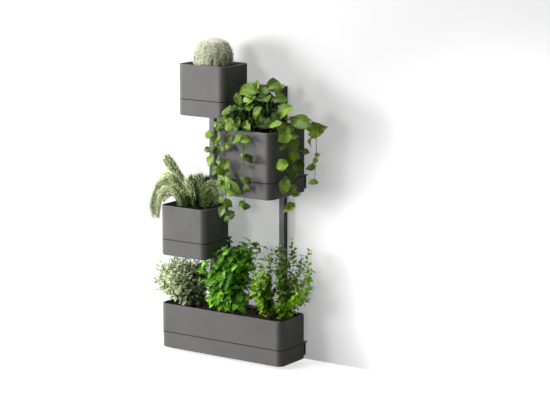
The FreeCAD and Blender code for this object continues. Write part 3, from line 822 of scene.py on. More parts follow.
def cactus_marks(centre, rng):
    """Where the spines stand: along the crest of each rib, up to the crown."""
    marks = []
    for rib in range(CACTUS_RIBS):
        offset = SPINE_STEP / 2 * (rib % 2)
        for step in np.arange(SPINE_SLOPES[0] + offset, SPINE_SLOPES[1], SPINE_STEP):
            slope = math.radians(step + rng.uniform(-2.5, 2.5))
            angle = 2 * math.pi * (rib + rng.uniform(-0.16, 0.16)) / CACTUS_RIBS
            place = cactus_point(angle, slope, 0.0)
            normal = unit((math.cos(angle) * math.cos(slope), math.sin(angle) * math.cos(slope), math.sin(slope)))
            size = rng.uniform(0.0205, 0.0265) * (0.75 + 0.25 * math.cos(slope))
            jitter = rng.normal(0, 0.2, 3)
            marks.append((centre + place * 1.005, unit(normal + jitter), UP + jitter, size, rng.uniform(0.2, 0.8)))
    return marks


def cactus():
    """Barrel cactus with its spines and woolly crown."""
    ground, rng = Ground("top"), np.random.default_rng(11)
    centre = ground.at(0, 0, CACTUS_CENTRE)
    material, tree, shader = new_material("cactus_skin")
    grain = group(tree, GRAIN, Grain_Size=0.0016, Mottle_Size=0.02)
    flesh = mix(tree, grain["Mottle"], colour(170, 200, 142), colour(212, 232, 184))
    low, high = [centre[2] + level for level in WOOL_LEVELS]
    crown = remap(tree, height_on(tree), low, high, 0.0, 1.0, smooth=True)
    rough = remap(tree, grain["Height"], 0.0, 1.0, 0.45, 0.65)
    dress(tree, shader, mix(tree, crown, flesh, WOOL_WHITE), rough, bump(tree, grain["Height"], 0.0003))
    settle(plain_piece("cactus_flesh", cactus_body(centre), material), ground.body, "cactus")
    cream = pointed("cactus_spines", colour(253, 254, 220), colour(255, 255, 234), colour(255, 255, 246))
    stars = shape_set("spine_stars", [spine_star(f"spine_star_{i}", rng) for i in range(STARS)])
    values = {"Shapes": stars, "Shape Count": STARS, "Seed": 4, "Finish": cream}
    settle(grown("cactus_spines", mark_mesh("cactus_marks", cactus_marks(centre, rng)), MARK_TREE, values),
           ground.body)
    hairs = []
    for _ in range(WOOL_HAIRS):
        slope, angle = math.radians(90 - WOOL_SPREAD * math.sqrt(rng.uniform())), rng.uniform(0, 2 * math.pi)
        place = cactus_point(angle, slope, 0.5)
        out = np.array([math.cos(angle), math.sin(angle), 0]) * math.cos(slope)
        lean = unit(UP + 1.4 * out + rng.normal(0, 0.35, 3))
        length = rng.uniform(0.7, 1.1) * np.interp(math.degrees(slope), [90 - WOOL_SPREAD, 90], [0.008, 0.011])
        hairs.append((centre + place * 0.99, lean, rng.normal(0, 1, 3), length, rng.uniform(0, 1)))
    wool = pointed("cactus_wool", WOOL_WHITE, colour(255, 252, 246), colour(255, 254, 252), 0.8)
    strand = shape_set("wool_strands", [needle_shape(f"wool_strand_{i}", 0.05, 0.3 * i - 0.3) for i in range(3)])
    values = {"Shapes": strand, "Shape Count": 3, "Seed": 9, "Finish": wool}
    settle(grown("cactus_crown_wool", mark_mesh("wool_marks", hairs), MARK_TREE, values), ground.body)


# Pothos: leaves seen from the front are placed one by one, base and tip in millimetres, and some upper sides

CROWN_LEAVES = [
    (148, -152, 505, 69, -198, 537), (141, -151, 517, 130, -149, 557), (155, -151, 485, 173, -129, 532),
    (178, -139, 521, 219, -101, 567), (151, -180, 496, 100, -220, 472), (78, -179, 459, 59, -181, 503),
    (196, -99, 491, 203, -81, 548), (214, -148, 483, 263, -112, 494), (213, -228, 461, 174, -262, 426),
    (321, -180, 467, 258, -230, 439), (318, -247, 415, 277, -277, 406), (81, -231, 434, 38, -259, 443),
    (119, -240, 457, 103, -260, 414), (112, -291, 421, 123, -293, 377), (185, -282, 417, 176, -298, 371),
    (288, -160, 402, 304, -158, 363), (279, -129, 409, 345, -90, 382), (315, -170, 420, 402, -188, 412),
]
VINE_LEAVES = [
    [(31, -287, 353, -4, -313, 345), (89, -290, 415, 71, -310, 384), (54, -294, 347, 45, -310, 306),
     (19, -295, 296, -4, -313, 286), (52, -295, 300, 56, -301, 259), (29, -295, 266, 15, -313, 229),
     (58, -292, 228, 26, -320, 199)],
    [(111, -302, 339, 120, -290, 363), (104, -293, 316, 71, -319, 301), (97, -312, 231, 105, -296, 273),
     (71, -316, 232, 105, -300, 201), (91, -306, 195, 104, -314, 123), (126, -309, 179, 163, -299, 116),
     (97, -311, 103, 132, -293, 81), (83, -295, 74, 70, -313, 38), (128, -290, 54, 87, -322, 36)],
    [(167, -285, 354, 130, -315, 337), (184, -319, 345, 221, -289, 362), (185, -300, 330, 187, -304, 304),
     (193, -317, 280, 235, -291, 272), (179, -296, 277, 164, -304, 291), (179, -294, 249, 167, -306, 235),
     (187, -296, 190, 166, -308, 203), (193, -313, 196, 223, -295, 184), (180, -291, 103, 154, -313, 83),
     (186, -311, 100, 215, -297, 78)],
    [(336, -220, 369, 288, -258, 347), (298, -175, 354, 338, -164, 287), (321, -180, 290, 311, -197, 242),
     (340, -248, 262, 296, -281, 253), (319, -166, 241, 317, -182, 179), (325, -225, 192, 315, -245, 137),
     (306, -164, 155, 334, -156, 107), (341, -195, 95, 299, -227, 76)],
    [(305, -112, 309, 319, -110, 276), (307, -107, 249, 317, -110, 207)],
    [(345, -98, 364, 418, -98, 390, 0.35, -0.9, 0.2), (390, -154, 350, 378, -170, 316),
     (377, -109, 277, 395, -96, 284), (393, -119, 268, 379, -132, 253), (396, -142, 185, 376, -158, 176),
     (375, -121, 182, 397, -110, 169)],
]
VINES = [
    [(100, -240, 364), (78, -262, 400), (58, -290, 404), (50, -302, 370), (48, -303, 300), (42, -303, 220)],
    [(69, -251, 363), (82, -270, 398), (98, -292, 404), (104, -303, 378), (100, -304, 300), (100, -305, 200),
     (102, -304, 110), (98, -303, 40)],
    [(171, -251, 363), (173, -263, 395), (175, -287, 405), (179, -301, 377), (183, -303, 303), (184, -303, 193),
     (184, -303, 85)],
    [(261, -207, 363), (273, -209, 399), (299, -211, 409), (313, -209, 379), (316, -200, 303), (316, -196, 193),
     (316, -192, 82)],
    [(263, -129, 363), (275, -125, 393), (297, -121, 403), (309, -119, 377), (309, -115, 303), (308, -110, 215)],
    [(257, -165, 363), (281, -157, 407), (331, -137, 425), (371, -118, 405), (385, -116, 343), (387, -118, 260),
     (386, -128, 175)],
]
CROWN_FILL, CROWN_SKIRT = 60, 40  # leaves that fill the crown, and that skirt it
CROWN_CENTRE = (-16, 4)  # from the middle of the soil, in millimetres
CROWN_SIZES, SKIRT_SIZES = np.array([0.070, 0.060, 0.072]), np.array([0.062, 0.052, 0.0])  # half sizes, in metres
FILL_LENGTHS, SKIRT_LENGTHS = (0.056, 0.090), (0.036, 0.066)  # of leaves, in metres
TUFT_LENGTHS, VINE_LENGTHS = (0.026, 0.044), (0.024, 0.042)
CLEAR_OF_LEAVES = 0.012  # how far a vine's small leaves keep from its placed ones
TUFTS = [((92, -252, 414), (46, 20, 28), 30), ((262, -200, 412), (26, 50, 22), 18)]  # place, spread, leaves
VINE_GAPS = [  # between the small leaves of each vine, over the rim and below it, in metres
    (0.026, 0.032), (0.022, 0.036), (0.03, 0.2), (0.02, 0.024), (0.022, 0.036), (0.2, 0.09)]
RIGHT_VINES = 290  # vines that end beyond this hang at the right of the pot, in millimetres
LEAF_FRONT = -0.316  # the vines' leaves start and end behind this, in metres
STALK, VINE, LEAF_STALK = (0.0023, 0.0012), (0.0019, 0.0010), (0.0011, 0.0008)  # radius at root and tip


def crown_fill(ground, rng):
    """Leaves that fill the crown all round, with their upper sides outwards: base, tip and upper side."""
    rows = []
    middle = ground.at(*CROWN_CENTRE, 78)
    for i in range(CROWN_FILL):
        turn = GOLDEN * i + rng.uniform(-0.3, 0.3)
        rise = -0.5 + 1.45 * (i + 0.5) / CROWN_FILL
        flat = math.sqrt(max(0.05, 1 - min(rise * rise, 0.95)))
        out = np.array([math.cos(turn) * flat, math.sin(turn) * flat, rise])
        centre = middle + out * CROWN_SIZES * rng.uniform(0.45, 1.0)
        upper = unit(out + np.array([0.0, 0.0, 0.3]) + rng.normal(0, 0.35, 3))
        axis = np.array([0.0, 0.0, rng.uniform(-0.5, 1.1)]) + 0.7 * out + rng.normal(0, 0.5, 3)
        axis = unit(axis - upper * (axis @ upper))
        length = rng.uniform(*FILL_LENGTHS)
        rows.append((centre - axis * length / 2, centre + axis * length / 2, upper))
    for i in range(CROWN_SKIRT):
        turn = 2 * math.pi * (i + rng.uniform(-0.4, 0.4)) / CROWN_SKIRT
        out = np.array([math.cos(turn), math.sin(turn), 0.0])
        base = ground.at(*CROWN_CENTRE, rng.uniform(22, 62))
        base += out * SKIRT_SIZES * rng.uniform(0.75, 1.2)
        axis = unit(out + np.array([0, 0, rng.uniform(-0.5, 0.35)]) + rng.normal(0, 0.35, 3))
        upper = unit(UP + 0.9 * out + np.array([0.0, -0.3, 0.0]) + rng.normal(0, 0.25, 3))
        rows.append((base, base + axis * rng.uniform(*SKIRT_LENGTHS), upper))
    for place, spread, count in TUFTS:
        for _ in range(count):
            base = np.array(place) * MM + rng.uniform(-1, 1, 3) * np.array(spread) * MM
            axis = unit(np.array([0.0, -0.5, -0.1]) + rng.normal(0, 0.6, 3))
            upper = unit(np.array([0.0, -0.7, 0.7]) + rng.normal(0, 0.35, 3))
            rows.append((base, base + axis * rng.uniform(*TUFT_LENGTHS), upper))
    return rows


def vine_fill(path, rim, gaps, outward, taken, rng):
    """Small leaves along a vine, at one gap over the rim and another below it: base, tip and upper side."""
    rows, since = [], 0.0
    for i in range(4, len(path) - 1):
        since += np.linalg.norm(path[i] - path[i - 1])
        step = gaps[0] if path[i][2] > rim else gaps[1]
        if since < step or min(np.linalg.norm(taken - path[i], axis=1)) < CLEAR_OF_LEAVES:
            continue
        since = 0.0
        side = np.cross(outward, UP) * (1 if len(rows) % 2 else -1)
        axis = unit(side + 0.5 * outward + np.array([0, 0, rng.uniform(-0.9, 0.5)]) + rng.normal(0, 0.25, 3))
        base = path[i] + axis * rng.uniform(0.008, 0.016) + outward * 0.006
        upper = unit(outward + np.array([0, 0, 0.5]) + rng.normal(0, 0.3, 3))
        rows.append((base, base + axis * rng.uniform(*VINE_LENGTHS), upper))
    return rows


def leaf_mark(base, tip, upper, tone):
    """Mark of a leaf from its base to its tip."""
    axis = tip - base
    return base, unit(axis), upper, float(np.linalg.norm(axis)), tone


def pothos_leaves():
    """Leaf shapes of the crown and of the vines."""
    forms = {"narrow": (0.03, [0.08, 0.21, 0.28, 0.315, 0.325, 0.315, 0.28, 0.21, 0.115, 0.0]),
             "broad": (0.11, [0.24, 0.37, 0.41, 0.41, 0.38, 0.32, 0.235, 0.135, 0.055, 0.0])}
    bends = [(1.0, 0.24, 0.7, 0.10), (0.9, 0.42, 1.0, 0.14), (1.05, 0.16, 0.5, 0.12), (0.95, 0.34, 1.3, 0.16)]
    leaves = {}
    for form, (lobes, widths) in forms.items():
        shapes = [leaf_shape(f"pothos_{form}_{i}", np.array(widths) * width, fold, curl, wave,
                             thickness=0.008, columns=6, rows=9, lobes=lobes)
                  for i, (width, fold, curl, wave) in enumerate(bends)]
        leaves[form] = shape_set(f"pothos_{form}", shapes)
    return leaves


def pothos_crown(ground, rng, values):
    """Leaves of the crown, each on a stalk from the soil."""
    marks, stalks = [], []
    rows = [(np.array(row[:3]) * MM, np.array(row[3:]) * MM, None) for row in CROWN_LEAVES]
    for i, (base, tip, upper) in enumerate(rows + crown_fill(ground, rng)):
        axis = unit(tip - base)
        if upper is None:
            upper = unit(np.array([0.08, -0.78, 0.52]) + rng.normal(0, 0.2, 3))
        # Fill and tuft leaves get low tones: painted shade deep inside the crown.
        tones = (0.4, 0.95) if i < len(CROWN_LEAVES) else (-0.2, 0.42)
        marks.append(leaf_mark(base, tip, upper, rng.uniform(*tones)))
        root = ground.at(rng.uniform(-48, 14), rng.uniform(-24, 32), -4)
        root[:2] += np.clip(base[:2] - root[:2], -0.06, 0.06)
        low = root * 0.75 + base * 0.25 + 0.020 * UP
        knee = root * 0.45 + base * 0.55 + 0.022 * UP - axis * 0.012
        stalks.append(through([root, low, knee, base + axis * 0.004], 4))
    settle(grown("pothos_crown_leaves", mark_mesh("crown_marks", marks), MARK_TREE, values),
           ground.body, "pothos_crown")
    round_stems("pothos_stalks", stalks, [STALK] * len(stalks), STEM_GREEN, ground)


def pothos_vines(ground, rng, values):
    """Vines that hang over the rim, with their leaves on short stalks."""
    marks, stems, sizes = [], [], []
    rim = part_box("large_planter")[1].z - 0.004
    for points, table, gaps in zip(VINES, VINE_LEAVES, VINE_GAPS):
        path = through(np.array(points) * MM, 8)
        wobble = np.cumsum(rng.normal(0, 0.0006, path.shape), axis=0)
        path = path + wobble - np.linspace(0, 1, len(path))[:, None] * wobble[-1]
        stems.append(path)
        sizes.append(VINE)
        right = points[-1][0] > RIGHT_VINES
        outward = unit((0.42, -0.72, 0.42)) if right else unit((0.14, -0.86, 0.44))
        placed = [(np.array(row[:3]) * MM, np.array(row[3:6]) * MM,
                   unit(row[6:]) if row[6:] else unit(outward + rng.normal(0, 0.28, 3))) for row in table]
        face = unit((0.75, -0.6, 0.0)) if right else np.array([0.0, -1.0, 0.0])
        for base, tip, upper in placed + vine_fill(path, rim, gaps, face, np.array([row[0] for row in placed]), rng):
            base[1], tip[1] = max(base[1], LEAF_FRONT), max(tip[1], LEAF_FRONT)
            axis = unit(tip - base)
            # Leaves of the vines at the right of the pot are painted lighter: painted light where the lamps barely
            # reach them.
            marks.append(leaf_mark(base, tip, upper, rng.uniform(0.2, 1.0) + 0.55 * right))
            drop = np.maximum(0.0, base[2] - path[:, 2])
            near = path[np.argmin(np.linalg.norm(path - base, axis=1) + 3 * drop)]
            stems.append(through([near, (near + base) / 2 + 0.006 * UP, base + axis * 0.003], 3))
            sizes.append(LEAF_STALK)
    settle(grown("pothos_vine_leaves", mark_mesh("vine_marks", marks), MARK_TREE, values),
           ground.body, "pothos_vines")
    round_stems("pothos_vine_stems", stems, sizes, STEM_BROWN, ground)


def pothos():
    """Leafy crown and trailing vines of the large pot."""
    ground, rng = Ground("large"), np.random.default_rng(21)
    finish = leafy("pothos_leaf", colour(30, 62, 12), colour(142, 182, 60), colour(104, 134, 60),
                   colour(184, 210, 116), roughness=0.33, veins=5.0, slant=1.4, vein_share=0.32, swell=0.0009)
    leaves = pothos_leaves()
    values = {"Shape Count": 4, "Size": 1.0, "Seed": 2, "Finish": finish}
    pothos_crown(ground, rng, {"Shapes": leaves["narrow"], **values})
    pothos_vines(ground, rng, {"Shapes": leaves["broad"], **values})


# Foxtail fern: the shade of each plume, and its course from the middle of the soil, x, y, up and radius in millimetres

# Plume shades carry painted light and shade: the arches to the left are painted lighter, where the light falls, and the
# plumes at the right and the low one in front darker, in the shade.
PLUMES = [
    (0.85, [(-10, 9, -3, 20), (-41, 8, 47, 31), (-72, 6, 95, 34), (-99, 4, 136, 34), (-122, 3, 168, 32),
            (-139, 2, 187, 26)]),
    (1.75, [(-46, -7, -3, 20), (-61, -17, 69, 31), (-87, -29, 109, 35), (-121, -39, 100, 36), (-148, -47, 55, 35),
            (-159, -53, 4, 32), (-157, -57, -46, 23)]),
    (1.7, [(-50, 5, -3, 20), (-87, 9, 79, 26), (-132, 15, 109, 29), (-168, 21, 98, 27), (-188, 25, 72, 18)]),
    (1.7, [(-40, -19, -3, 20), (-57, -31, 48, 29), (-81, -43, 68, 34), (-108, -51, 57, 31), (-123, -57, 28, 17)]),
    (0.95, [(14, -9, -3, 20), (21, -25, 62, 36), (18, -37, 102, 40), (11, -47, 125, 30)]),
    (1.1, [(20, 15, -3, 20), (10, 23, 87, 26), (1, 27, 126, 21)]),
    (0.1, [(29, 27, -3, 20), (30, 35, 77, 29), (33, 39, 116, 22)]),
    (0.95, [(60, -13, -3, 20), (70, -21, 54, 29), (89, -27, 90, 31), (118, -31, 103, 29), (140, -33, 86, 25),
            (148, -35, 59, 16)]),
    (0.45, [(78, -27, -3, 20), (106, -37, 53, 23), (127, -43, 63, 23), (145, -47, 49, 14)]),
    (0.25, [(-12, -27, -3, 20), (-21, -41, 44, 26), (-31, -49, 57, 17)]),
]
STRANDS = 10
STRAND_PLACES = (0.34, 0.62)  # of the inner and outer strands, in shares of a plume's radius
INNER_TO = 0.45
# Inner strands are painted darker, as shade inside a plume, and outer ones a little lighter, as lit.
INNER_SHADE, OUTER_SHADE = -0.6, 0.12
ROOT_SHADE, ROOT_SHARE = 1.15, 0.5  # how much darker a plume is painted at its root, as shade near the soil, and how far along it that shows
FERN_STEM = (0.0010, 0.0003)  # radius at root and tip


def strands_of(smooth, rng):
    """Lines that wind along a plume at some way from its middle: each with its needles' length and its own shade."""
    places, radii = smooth[:, :3] * MM, smooth[:, 3] * MM
    ways = np.gradient(places, axis=0)
    lines = []
    for k in range(STRANDS):
        stop = int(len(places) * rng.uniform(0.9, 1.0))
        out = 0.0 if k == 0 else STRAND_PLACES[k % 2] + rng.uniform(-0.06, 0.06)
        turn, twist = 2 * math.pi * k / (STRANDS - 1), rng.uniform(-0.9, 0.9)
        line = []
        for i, (place, radius, way) in enumerate(zip(places[:stop], radii, ways)):
            side = unit(np.cross(way, (0.3, 1.0, 0.2)))
            other = unit(np.cross(way, side))
            angle = turn + twist * i / len(places)
            line.append(place + out * radius * (side * math.cos(angle) + other * math.sin(angle)))
        lines.append((np.array(line), 0.55 * radii[:stop] + 0.007, INNER_SHADE if out < INNER_TO else OUTER_SHADE))
    return lines


def foxtail_fern():
    """Plumes of soft needles about their stems."""
    ground, rng = Ground("middle"), np.random.default_rng(31)
    paths, girths, shades = [], [], []
    for shade, stations in PLUMES:
        for line, girth, own_shade in strands_of(through(np.array(stations, float), 10), rng):
            paths.append(ground.middle + line)
            girths.append(girth)
            climb = np.linspace(0.0, 1.0, len(line))
            # Darker towards the root: painted shade near the soil.
            root_shade = ROOT_SHADE * np.clip(1 - climb / ROOT_SHARE, 0, 1)
            shades.append(shade + own_shade + rng.uniform(-0.15, 0.15) - root_shade)
    # Needles run from a root painted dark, as shade deep in the plume, through green to a pale tip.
    finish = pointed("fern_needles", colour(20, 46, 10), colour(124, 166, 70), colour(250, 255, 208), 0.55)
    shapes = [needle_shape(f"fern_needle_{i}", 0.085, 0.10 + 0.08 * i, rows=3, blunt=0.0, flat=0.3) for i in range(3)]
    values = {"Shapes": shape_set("fern_needle_set", shapes), "Shape Count": 3, "Spacing": 0.0092,
              "Leaves per Node": 4, "Turn": GOLDEN, "Turn Spread": 0.4, "Tilt": 0.72, "Tilt Spread": 0.22,
              "Size": 1.0, "Size Spread": 0.3, "Bare Share": 0.02, "Seed": 5, "Finish": finish}
    settle(grown("fern_needles", line_mesh("plume_lines", paths, girths, shades), STEM_TREE, values),
           ground.body, "foxtail_fern")
    round_stems("fern_stems", paths, [FERN_STEM] * len(paths), STEM_GREEN, ground, 4)


# Herbs of the trough

UNDER_MIDDLE_POT = 192  # room for leaves under the middle pot while the trough is lifted, in millimetres
MIDDLE_POT_RIGHT, MIDDLE_POT_FRONT = -60, -92  # how far that pot's room reaches along the wall and forwards
OPEN_ROOM = 330.0
AIRY_FROM, AIRY_ABOVE = 285, 90  # from here on the sprays have no side twigs, in millimetres
THICK_STEM, THIN_TWIG = (0.0016, 0.0008), (0.0009, 0.0005)  # radius at root and tip
LEAF_RISE = 0.45  # share of its length that a leaf may rise above its stem


def ceiling(ground, place, room):
    """How far above the soil stems may rise, in millimetres: only as far as the room there is under the middle pot."""
    clear = MIDDLE_POT_RIGHT - ground.middle[0] / MM
    return room if place[0] < clear and place[1] > MIDDLE_POT_FRONT else OPEN_ROOM


def bush(ground, rng, stations, sprays, count, reach, twigs, twig_length, room):
    """Paths of the stems, and which are twigs: placed sprays (tip, twigs), then stems that fill a form.

    A form is a list of stations (x, y, up, half sizes). All are in millimetres from the middle of the soil.
    """
    form = np.array(stations, float)
    tips = [np.array(spray[:3], float) for spray in sprays]
    twigs_of = [spray[3] for spray in sprays]
    for i in range(count):
        up = form[-1, 2] * reach * (0.22 + 0.78 * rng.uniform() ** 0.85)
        x, y, half_x, half_y = [np.interp(up, form[:, 2], form[:, c]) for c in (0, 1, 3, 4)]
        turn, share = GOLDEN * i + rng.uniform(-0.4, 0.4), math.sqrt(rng.uniform(0.08, 1.0))
        tip = np.array([x + half_x * share * math.cos(turn), y + half_y * share * math.sin(turn), up])
        tip[2] = min(tip[2], ceiling(ground, tip, room))
        tips.append(tip)
        twigs_of.append(twigs if tip[0] < AIRY_FROM or tip[2] < AIRY_ABOVE else 0)
    paths, is_twig = [], []
    for i, tip in enumerate(tips):
        spread = math.sqrt(rng.uniform()) * unit(tip[:2] - form[0, :2])
        root = np.array([*(form[0, :2] + form[0, 3:] * spread), -3.0])
        bow = np.array([0.25, 0.25, 0.5]) * (tip - root)
        low = root + bow + rng.normal(0, 3, 3)
        high = root * 0.25 + tip * 0.75 + rng.normal(0, 4, 3)
        path = through([root, low, high, tip], 6)
        paths.append(path)
        is_twig.append(False)
        for k in range(twigs_of[i]):
            s = int(len(path) * (0.24 + 0.68 * (k + rng.uniform(0.2, 0.8)) / twigs_of[i]))
            start, along = path[s], unit(path[min(s + 1, len(path) - 1)] - path[s - 1])
            angle = GOLDEN * (k + 3 * i)
            side = np.array([math.cos(angle), math.sin(angle), 0.0])
            length = twig_length * rng.uniform(0.6, 1.1) * (1.15 - 0.5 * s / len(path))
            end = start + unit(side + 0.75 * along + (0, 0, 0.25)) * length
            end[2] = min(end[2], ceiling(ground, end, room))
            paths.append(through([start, (start + end) / 2 + side * length * 0.1, end], 4))
            is_twig.append(True)
    return [ground.middle + p * MM for p in paths], is_twig


def herb(name, seed, stations, sprays, shapes, finish, stems, shade, count, reach, twigs, twig_length, **values):
    """One herb: its stems, and pairs of leaves along them, each pair across the last."""
    ground, rng = Ground("trough"), np.random.default_rng(seed)
    room = UNDER_MIDDLE_POT - LEAF_RISE * values["Size"] / MM
    paths, is_twig = bush(ground, rng, stations, sprays, count, reach, twigs, twig_length, room)
    girths = [np.linspace(0.85, 0.55, len(p)) if twig else np.linspace(1.0, 0.6, len(p))
              for p, twig in zip(paths, is_twig)]
    shades = [shade(p[-1], rng) for p in paths]
    settings = {"Shapes": shape_set(name + "_shapes", shapes), "Shape Count": len(shapes), "Seed": seed,
                "Finish": finish, "Leaves per Node": 2, "Turn": math.pi / 2}
    settings.update({key.replace("_", " "): value for key, value in values.items()})
    settle(grown(name + "_leaves", line_mesh(name + "_lines", paths, girths, shades), STEM_TREE, settings),
           ground.body, name)
    sizes = [THIN_TWIG if twig else THICK_STEM for twig in is_twig]
    round_stems(name + "_stems", paths, sizes, stems, ground)


THYME = [(-196, 0, 0, 48, 30), (-208, -10, 24, 98, 54), (-226, -20, 52, 120, 72), (-232, -26, 96, 122, 78),
         (-232, -26, 140, 118, 78), (-226, -26, 178, 106, 70)]
BASIL = [(-24, -14, 0, 46, 28), (-16, -18, 24, 88, 54), (-12, -22, 58, 108, 68), (-10, -22, 106, 112, 68),
         (-6, -18, 150, 102, 60), (10, -12, 190, 72, 50), (22, -6, 228, 52, 36), (50, 0, 268, 26, 18)]
BOX_HERB = [(206, 0, 0, 64, 30), (214, -4, 30, 96, 54), (226, -6, 70, 116, 64), (238, -4, 120, 124, 66),
            (246, 0, 180, 124, 62), (250, 4, 235, 106, 54), (252, 8, 285, 64, 38), (254, 10, 316, 26, 18)]
BASIL_SPRAYS = [(106, 31, 268, 2), (53, 11, 272, 4), (65, 35, 274, 3), (79, 1, 243, 4), (-62, -92, 190, 4),
                (-15, -49, 250, 4), (4, -9, 276, 4)]
BOX_SPRAYS = [
    (140, -54, 205, 5), (151, -29, 214, 5), (155, -69, 151, 6), (141, -59, 99, 5), (180, 11, 262, 2),
    (193, -29, 247, 3), (174, -49, 181, 6), (149, -39, 120, 6), (158, -20, 170, 5), (168, -64, 112, 6),
    (260, 31, 312, 2), (234, 1, 298, 4), (229, -19, 285, 4), (246, 11, 270, 4), (264, 46, 270, 2),
    (278, -9, 240, 3), (259, -44, 236, 4), (332, 41, 275, 1), (313, 21, 256, 1), (352, 11, 226, 0),
    (353, 31, 200, 1), (358, 1, 137, 1), (356, -39, 133, 2), (299, 1, 172, 1)]
THYME_STEMS = fibrous("thyme_stems", colour(122, 132, 88), colour(164, 168, 116))


def herbs():
    """The three herbs of the trough."""
    finish = leafy("thyme_leaf", colour(56, 96, 30), colour(232, 250, 192), colour(212, 230, 176),
                   colour(216, 232, 172), roughness=0.6, veins=3.0, vein_share=0.2, rim=colour(247, 251, 222),
                   swell=0.0002)
    widths = np.array([0.05, 0.17, 0.17, 0.0])
    shapes = [leaf_shape(f"thyme_leaf_{i}", widths * w, 0.25, c, wave=0.0, thickness=0.02, columns=2, rows=3)
              for i, (w, c) in enumerate([(1.0, 0.5), (0.85, 0.9), (1.1, 0.2)])]
    # Thyme leaves are painted lighter towards the left, where the light falls, and darker towards the right, as painted
    # shade.
    herb("thyme", 41, THYME, (), shapes, finish, THYME_STEMS,
         lambda tip, rng: rng.uniform(-0.15, 0.15) + float(np.interp(tip[0], [-0.25, -0.15], [1.1, 0.0])),
         count=84, reach=1.06, twigs=6, twig_length=44, Spacing=0.0135, Turn_Spread=0.4,
         Tilt=0.85, Tilt_Spread=0.4, Size=0.0400, Size_Spread=0.4, Bare_Share=0.10)
    finish = leafy("basil_leaf", colour(16, 86, 6), colour(156, 232, 62), colour(120, 184, 66),
                   colour(160, 216, 104), roughness=0.25, veins=6.0, slant=1.1, vein_share=0.3, swell=0.0012)
    widths = np.array([0.04, 0.15, 0.21, 0.225, 0.18, 0.10, 0.0])
    shapes = [leaf_shape(f"basil_leaf_{i}", widths * w, f, c, wave=0.12, thickness=0.010, columns=4, rows=6)
              for i, (w, f, c) in enumerate([(1.0, 0.25, 0.9), (0.9, 0.35, 1.3), (1.08, 0.18, 0.6)])]
    herb("basil", 43, BASIL, BASIL_SPRAYS, shapes, finish, STEM_GREEN,
         lambda tip, rng: rng.uniform(0.1, 0.95),
         count=38, reach=0.95, twigs=4, twig_length=44, Spacing=0.027, Turn_Spread=0.35,
         Tilt=1.0, Tilt_Spread=0.35, Size=0.084, Size_Spread=0.4, Bare_Share=0.22)
    finish = leafy("box_leaf", colour(42, 102, 16), colour(180, 234, 56), colour(144, 178, 92),
                   colour(150, 182, 82), roughness=0.42, veins=4.0, vein_share=0.25, swell=0.0003)
    widths = np.array([0.14, 0.36, 0.40, 0.28, 0.0])
    shapes = [leaf_shape(f"box_leaf_{i}", widths * w, f, c, wave=0.0, thickness=0.02, columns=2, rows=4)
              for i, (w, f, c) in enumerate([(1.0, 0.2, 0.4), (0.9, 0.3, 0.7), (1.05, 0.12, 0.2)])]
    # Box herb sprays are painted lighter at the left, as painted light where the lamps fall, and lighter again at the
    # far right.
    herb("box_herb", 47, BOX_HERB, BOX_SPRAYS, shapes, finish, STEM_BROWN,
         lambda tip, rng: rng.uniform(0.05, 0.5) + 0.45 * (tip[0] < 0.19) + 0.55 * (tip[0] > 0.3),
         count=18, reach=0.5, twigs=4, twig_length=42, Spacing=0.0160, Turn_Spread=0.4,
         Tilt=0.95, Tilt_Spread=0.3, Size=0.0330, Size_Spread=0.35, Bare_Share=0.12)


cactus()
pothos()
foxtail_fern()
herbs()


# Camera, light and surroundings

CAMERA_PLACE = (4.4811, -6.4306, 1.5414)
CAMERA_YAW, CAMERA_PITCH = math.radians(34.1455), math.radians(10.955)
CAMERA_LENS = 36.0 * 2016.873 / 550
LAMPS = [  # name, place, target, size, power, and spread in degrees
    ("key", (-4.4, -2.9, 0.7), (0.0, -0.1, 0.1), 1.6, 306.0, 180.0),
    ("front", (-1.8, -5.1, 1.8), (0.0, -0.1, 0.05), 1.2, 78.0, 180.0),
    ("above", (-0.6, -1.1, 4.4), (0.0, -0.12, 0.0), 2.0, 120.0, 180.0),
    ("wall_wash", (0.93, -1.5, -0.2), (1.22, 0.0, -0.2), 0.4, 9.0, 68.0),
    ("behind", (-1.4, 2.4, 1.0), (0.0, 0.0, 0.0), 2.0, 42.0, 180.0),
]
WALL_Y, FLOOR_Z, WALL_TOP, REACH = 0.0015, -0.56, 8.0, 14.0
WALL_LIGHT, FLOOR_LIGHT = 0.30, 0.7  # how much of its white each shows by itself
WHITE_FROM, WHITE_AT = 1.5, 3.0  # the surroundings turn plain white between these distances, in metres


def lamp(name, place, target, size, power, spread):
    """Square soft lamp at a place, pointed at a target."""
    light = bpy.data.lights.new(name, "AREA")
    light.size, light.energy, light.spread = size, power, math.radians(spread)
    thing = bpy.data.objects.new(name, light)
    thing.location = place
    thing.rotation_euler = (Vector(target) - Vector(place)).to_track_quat("-Z", "Y").to_euler()
    scene.collection.objects.link(thing)


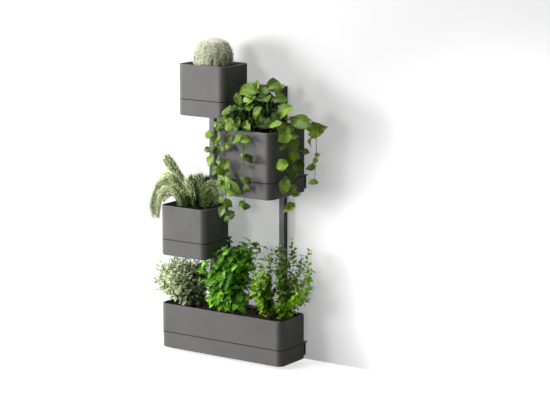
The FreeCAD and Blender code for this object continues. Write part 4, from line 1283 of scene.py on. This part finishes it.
def backdrop(name, corners, own_light, see_through):
    """Pale plane that keeps shadows and shows white, and that can be looked through from behind."""
    material = bpy.data.materials.new(name)
    material.use_nodes = True
    tree = material.node_tree
    tree.nodes.remove(tree.nodes["Principled BSDF"])
    path = add(tree, "ShaderNodeLightPath").outputs
    seen = calc(tree, "MAXIMUM", path["Is Camera Ray"], path["Is Glossy Ray"])
    pale = mix(tree, seen, (0.11, 0.11, 0.11, 1), (0.72, 0.72, 0.72, 1))
    diffuse = add(tree, "ShaderNodeBsdfDiffuse", {"Color": pale})
    away = add(tree, "ShaderNodeVectorMath", {0: object_place(tree)}, operation="LENGTH").outputs["Value"]
    strength = remap(tree, away, WHITE_FROM, WHITE_AT, own_light, 1.0, smooth=True)
    strength = calc(tree, "MULTIPLY", seen, strength)
    glow = add(tree, "ShaderNodeEmission", {"Color": (1, 1, 1, 1), "Strength": strength})
    surface = add(tree, "ShaderNodeAddShader", {0: diffuse.outputs[0], 1: glow.outputs[0]}).outputs[0]
    if see_through:
        behind = add(tree, "ShaderNodeNewGeometry").outputs["Backfacing"]
        hidden = calc(tree, "MAXIMUM", behind, path["Is Shadow Ray"])
        clear = add(tree, "ShaderNodeBsdfTransparent").outputs[0]
        surface = add(tree, "ShaderNodeMixShader", {0: hidden, 1: surface, 2: clear}).outputs[0]
    put(tree, tree.nodes["Material Output"].inputs["Surface"], surface)
    piece = plain_piece(name, mesh_of(name, corners, [(0, 1, 2, 3)], smooth=False), material)


def set_camera():
    """Camera at the photograph's viewing angle."""
    camera = bpy.data.objects.new("camera", bpy.data.cameras.new("camera"))
    camera.data.lens = CAMERA_LENS
    camera.data.clip_end = 100.0
    camera.location = CAMERA_PLACE
    camera.rotation_euler = (math.pi / 2 - CAMERA_PITCH, 0.0, CAMERA_YAW)
    scene.collection.objects.link(camera)
    scene.camera = camera
    scene.view_settings.view_transform = "Standard"


def set_world():
    """Faint light from all round, seen as white by the camera."""
    world = bpy.data.worlds.new("studio")
    world.use_nodes = True
    scene.world = world
    tree = world.node_tree
    seen = add(tree, "ShaderNodeLightPath").outputs["Is Camera Ray"]
    shader = tree.nodes["Background"].inputs
    put(tree, shader["Color"], (1, 1, 1, 1))
    put(tree, shader["Strength"], remap(tree, seen, 0.0, 1.0, 0.03, 1.0))


def surroundings():
    """Camera, lamps, wall, floor and world."""
    set_camera()
    for row in LAMPS:
        lamp(*row)
    corners = [(-1, 0), (1, 0), (1, 1), (-1, 1)]
    wall = [(x * REACH, WALL_Y, FLOOR_Z + up * (WALL_TOP - FLOOR_Z)) for x, up in corners]
    backdrop("wall", wall, WALL_LIGHT, True)
    floor = [(x * REACH, (2 * y - 1) * REACH, FLOOR_Z) for x, y in corners]
    backdrop("floor", floor, FLOOR_LIGHT, False)
    set_world()


surroundings()
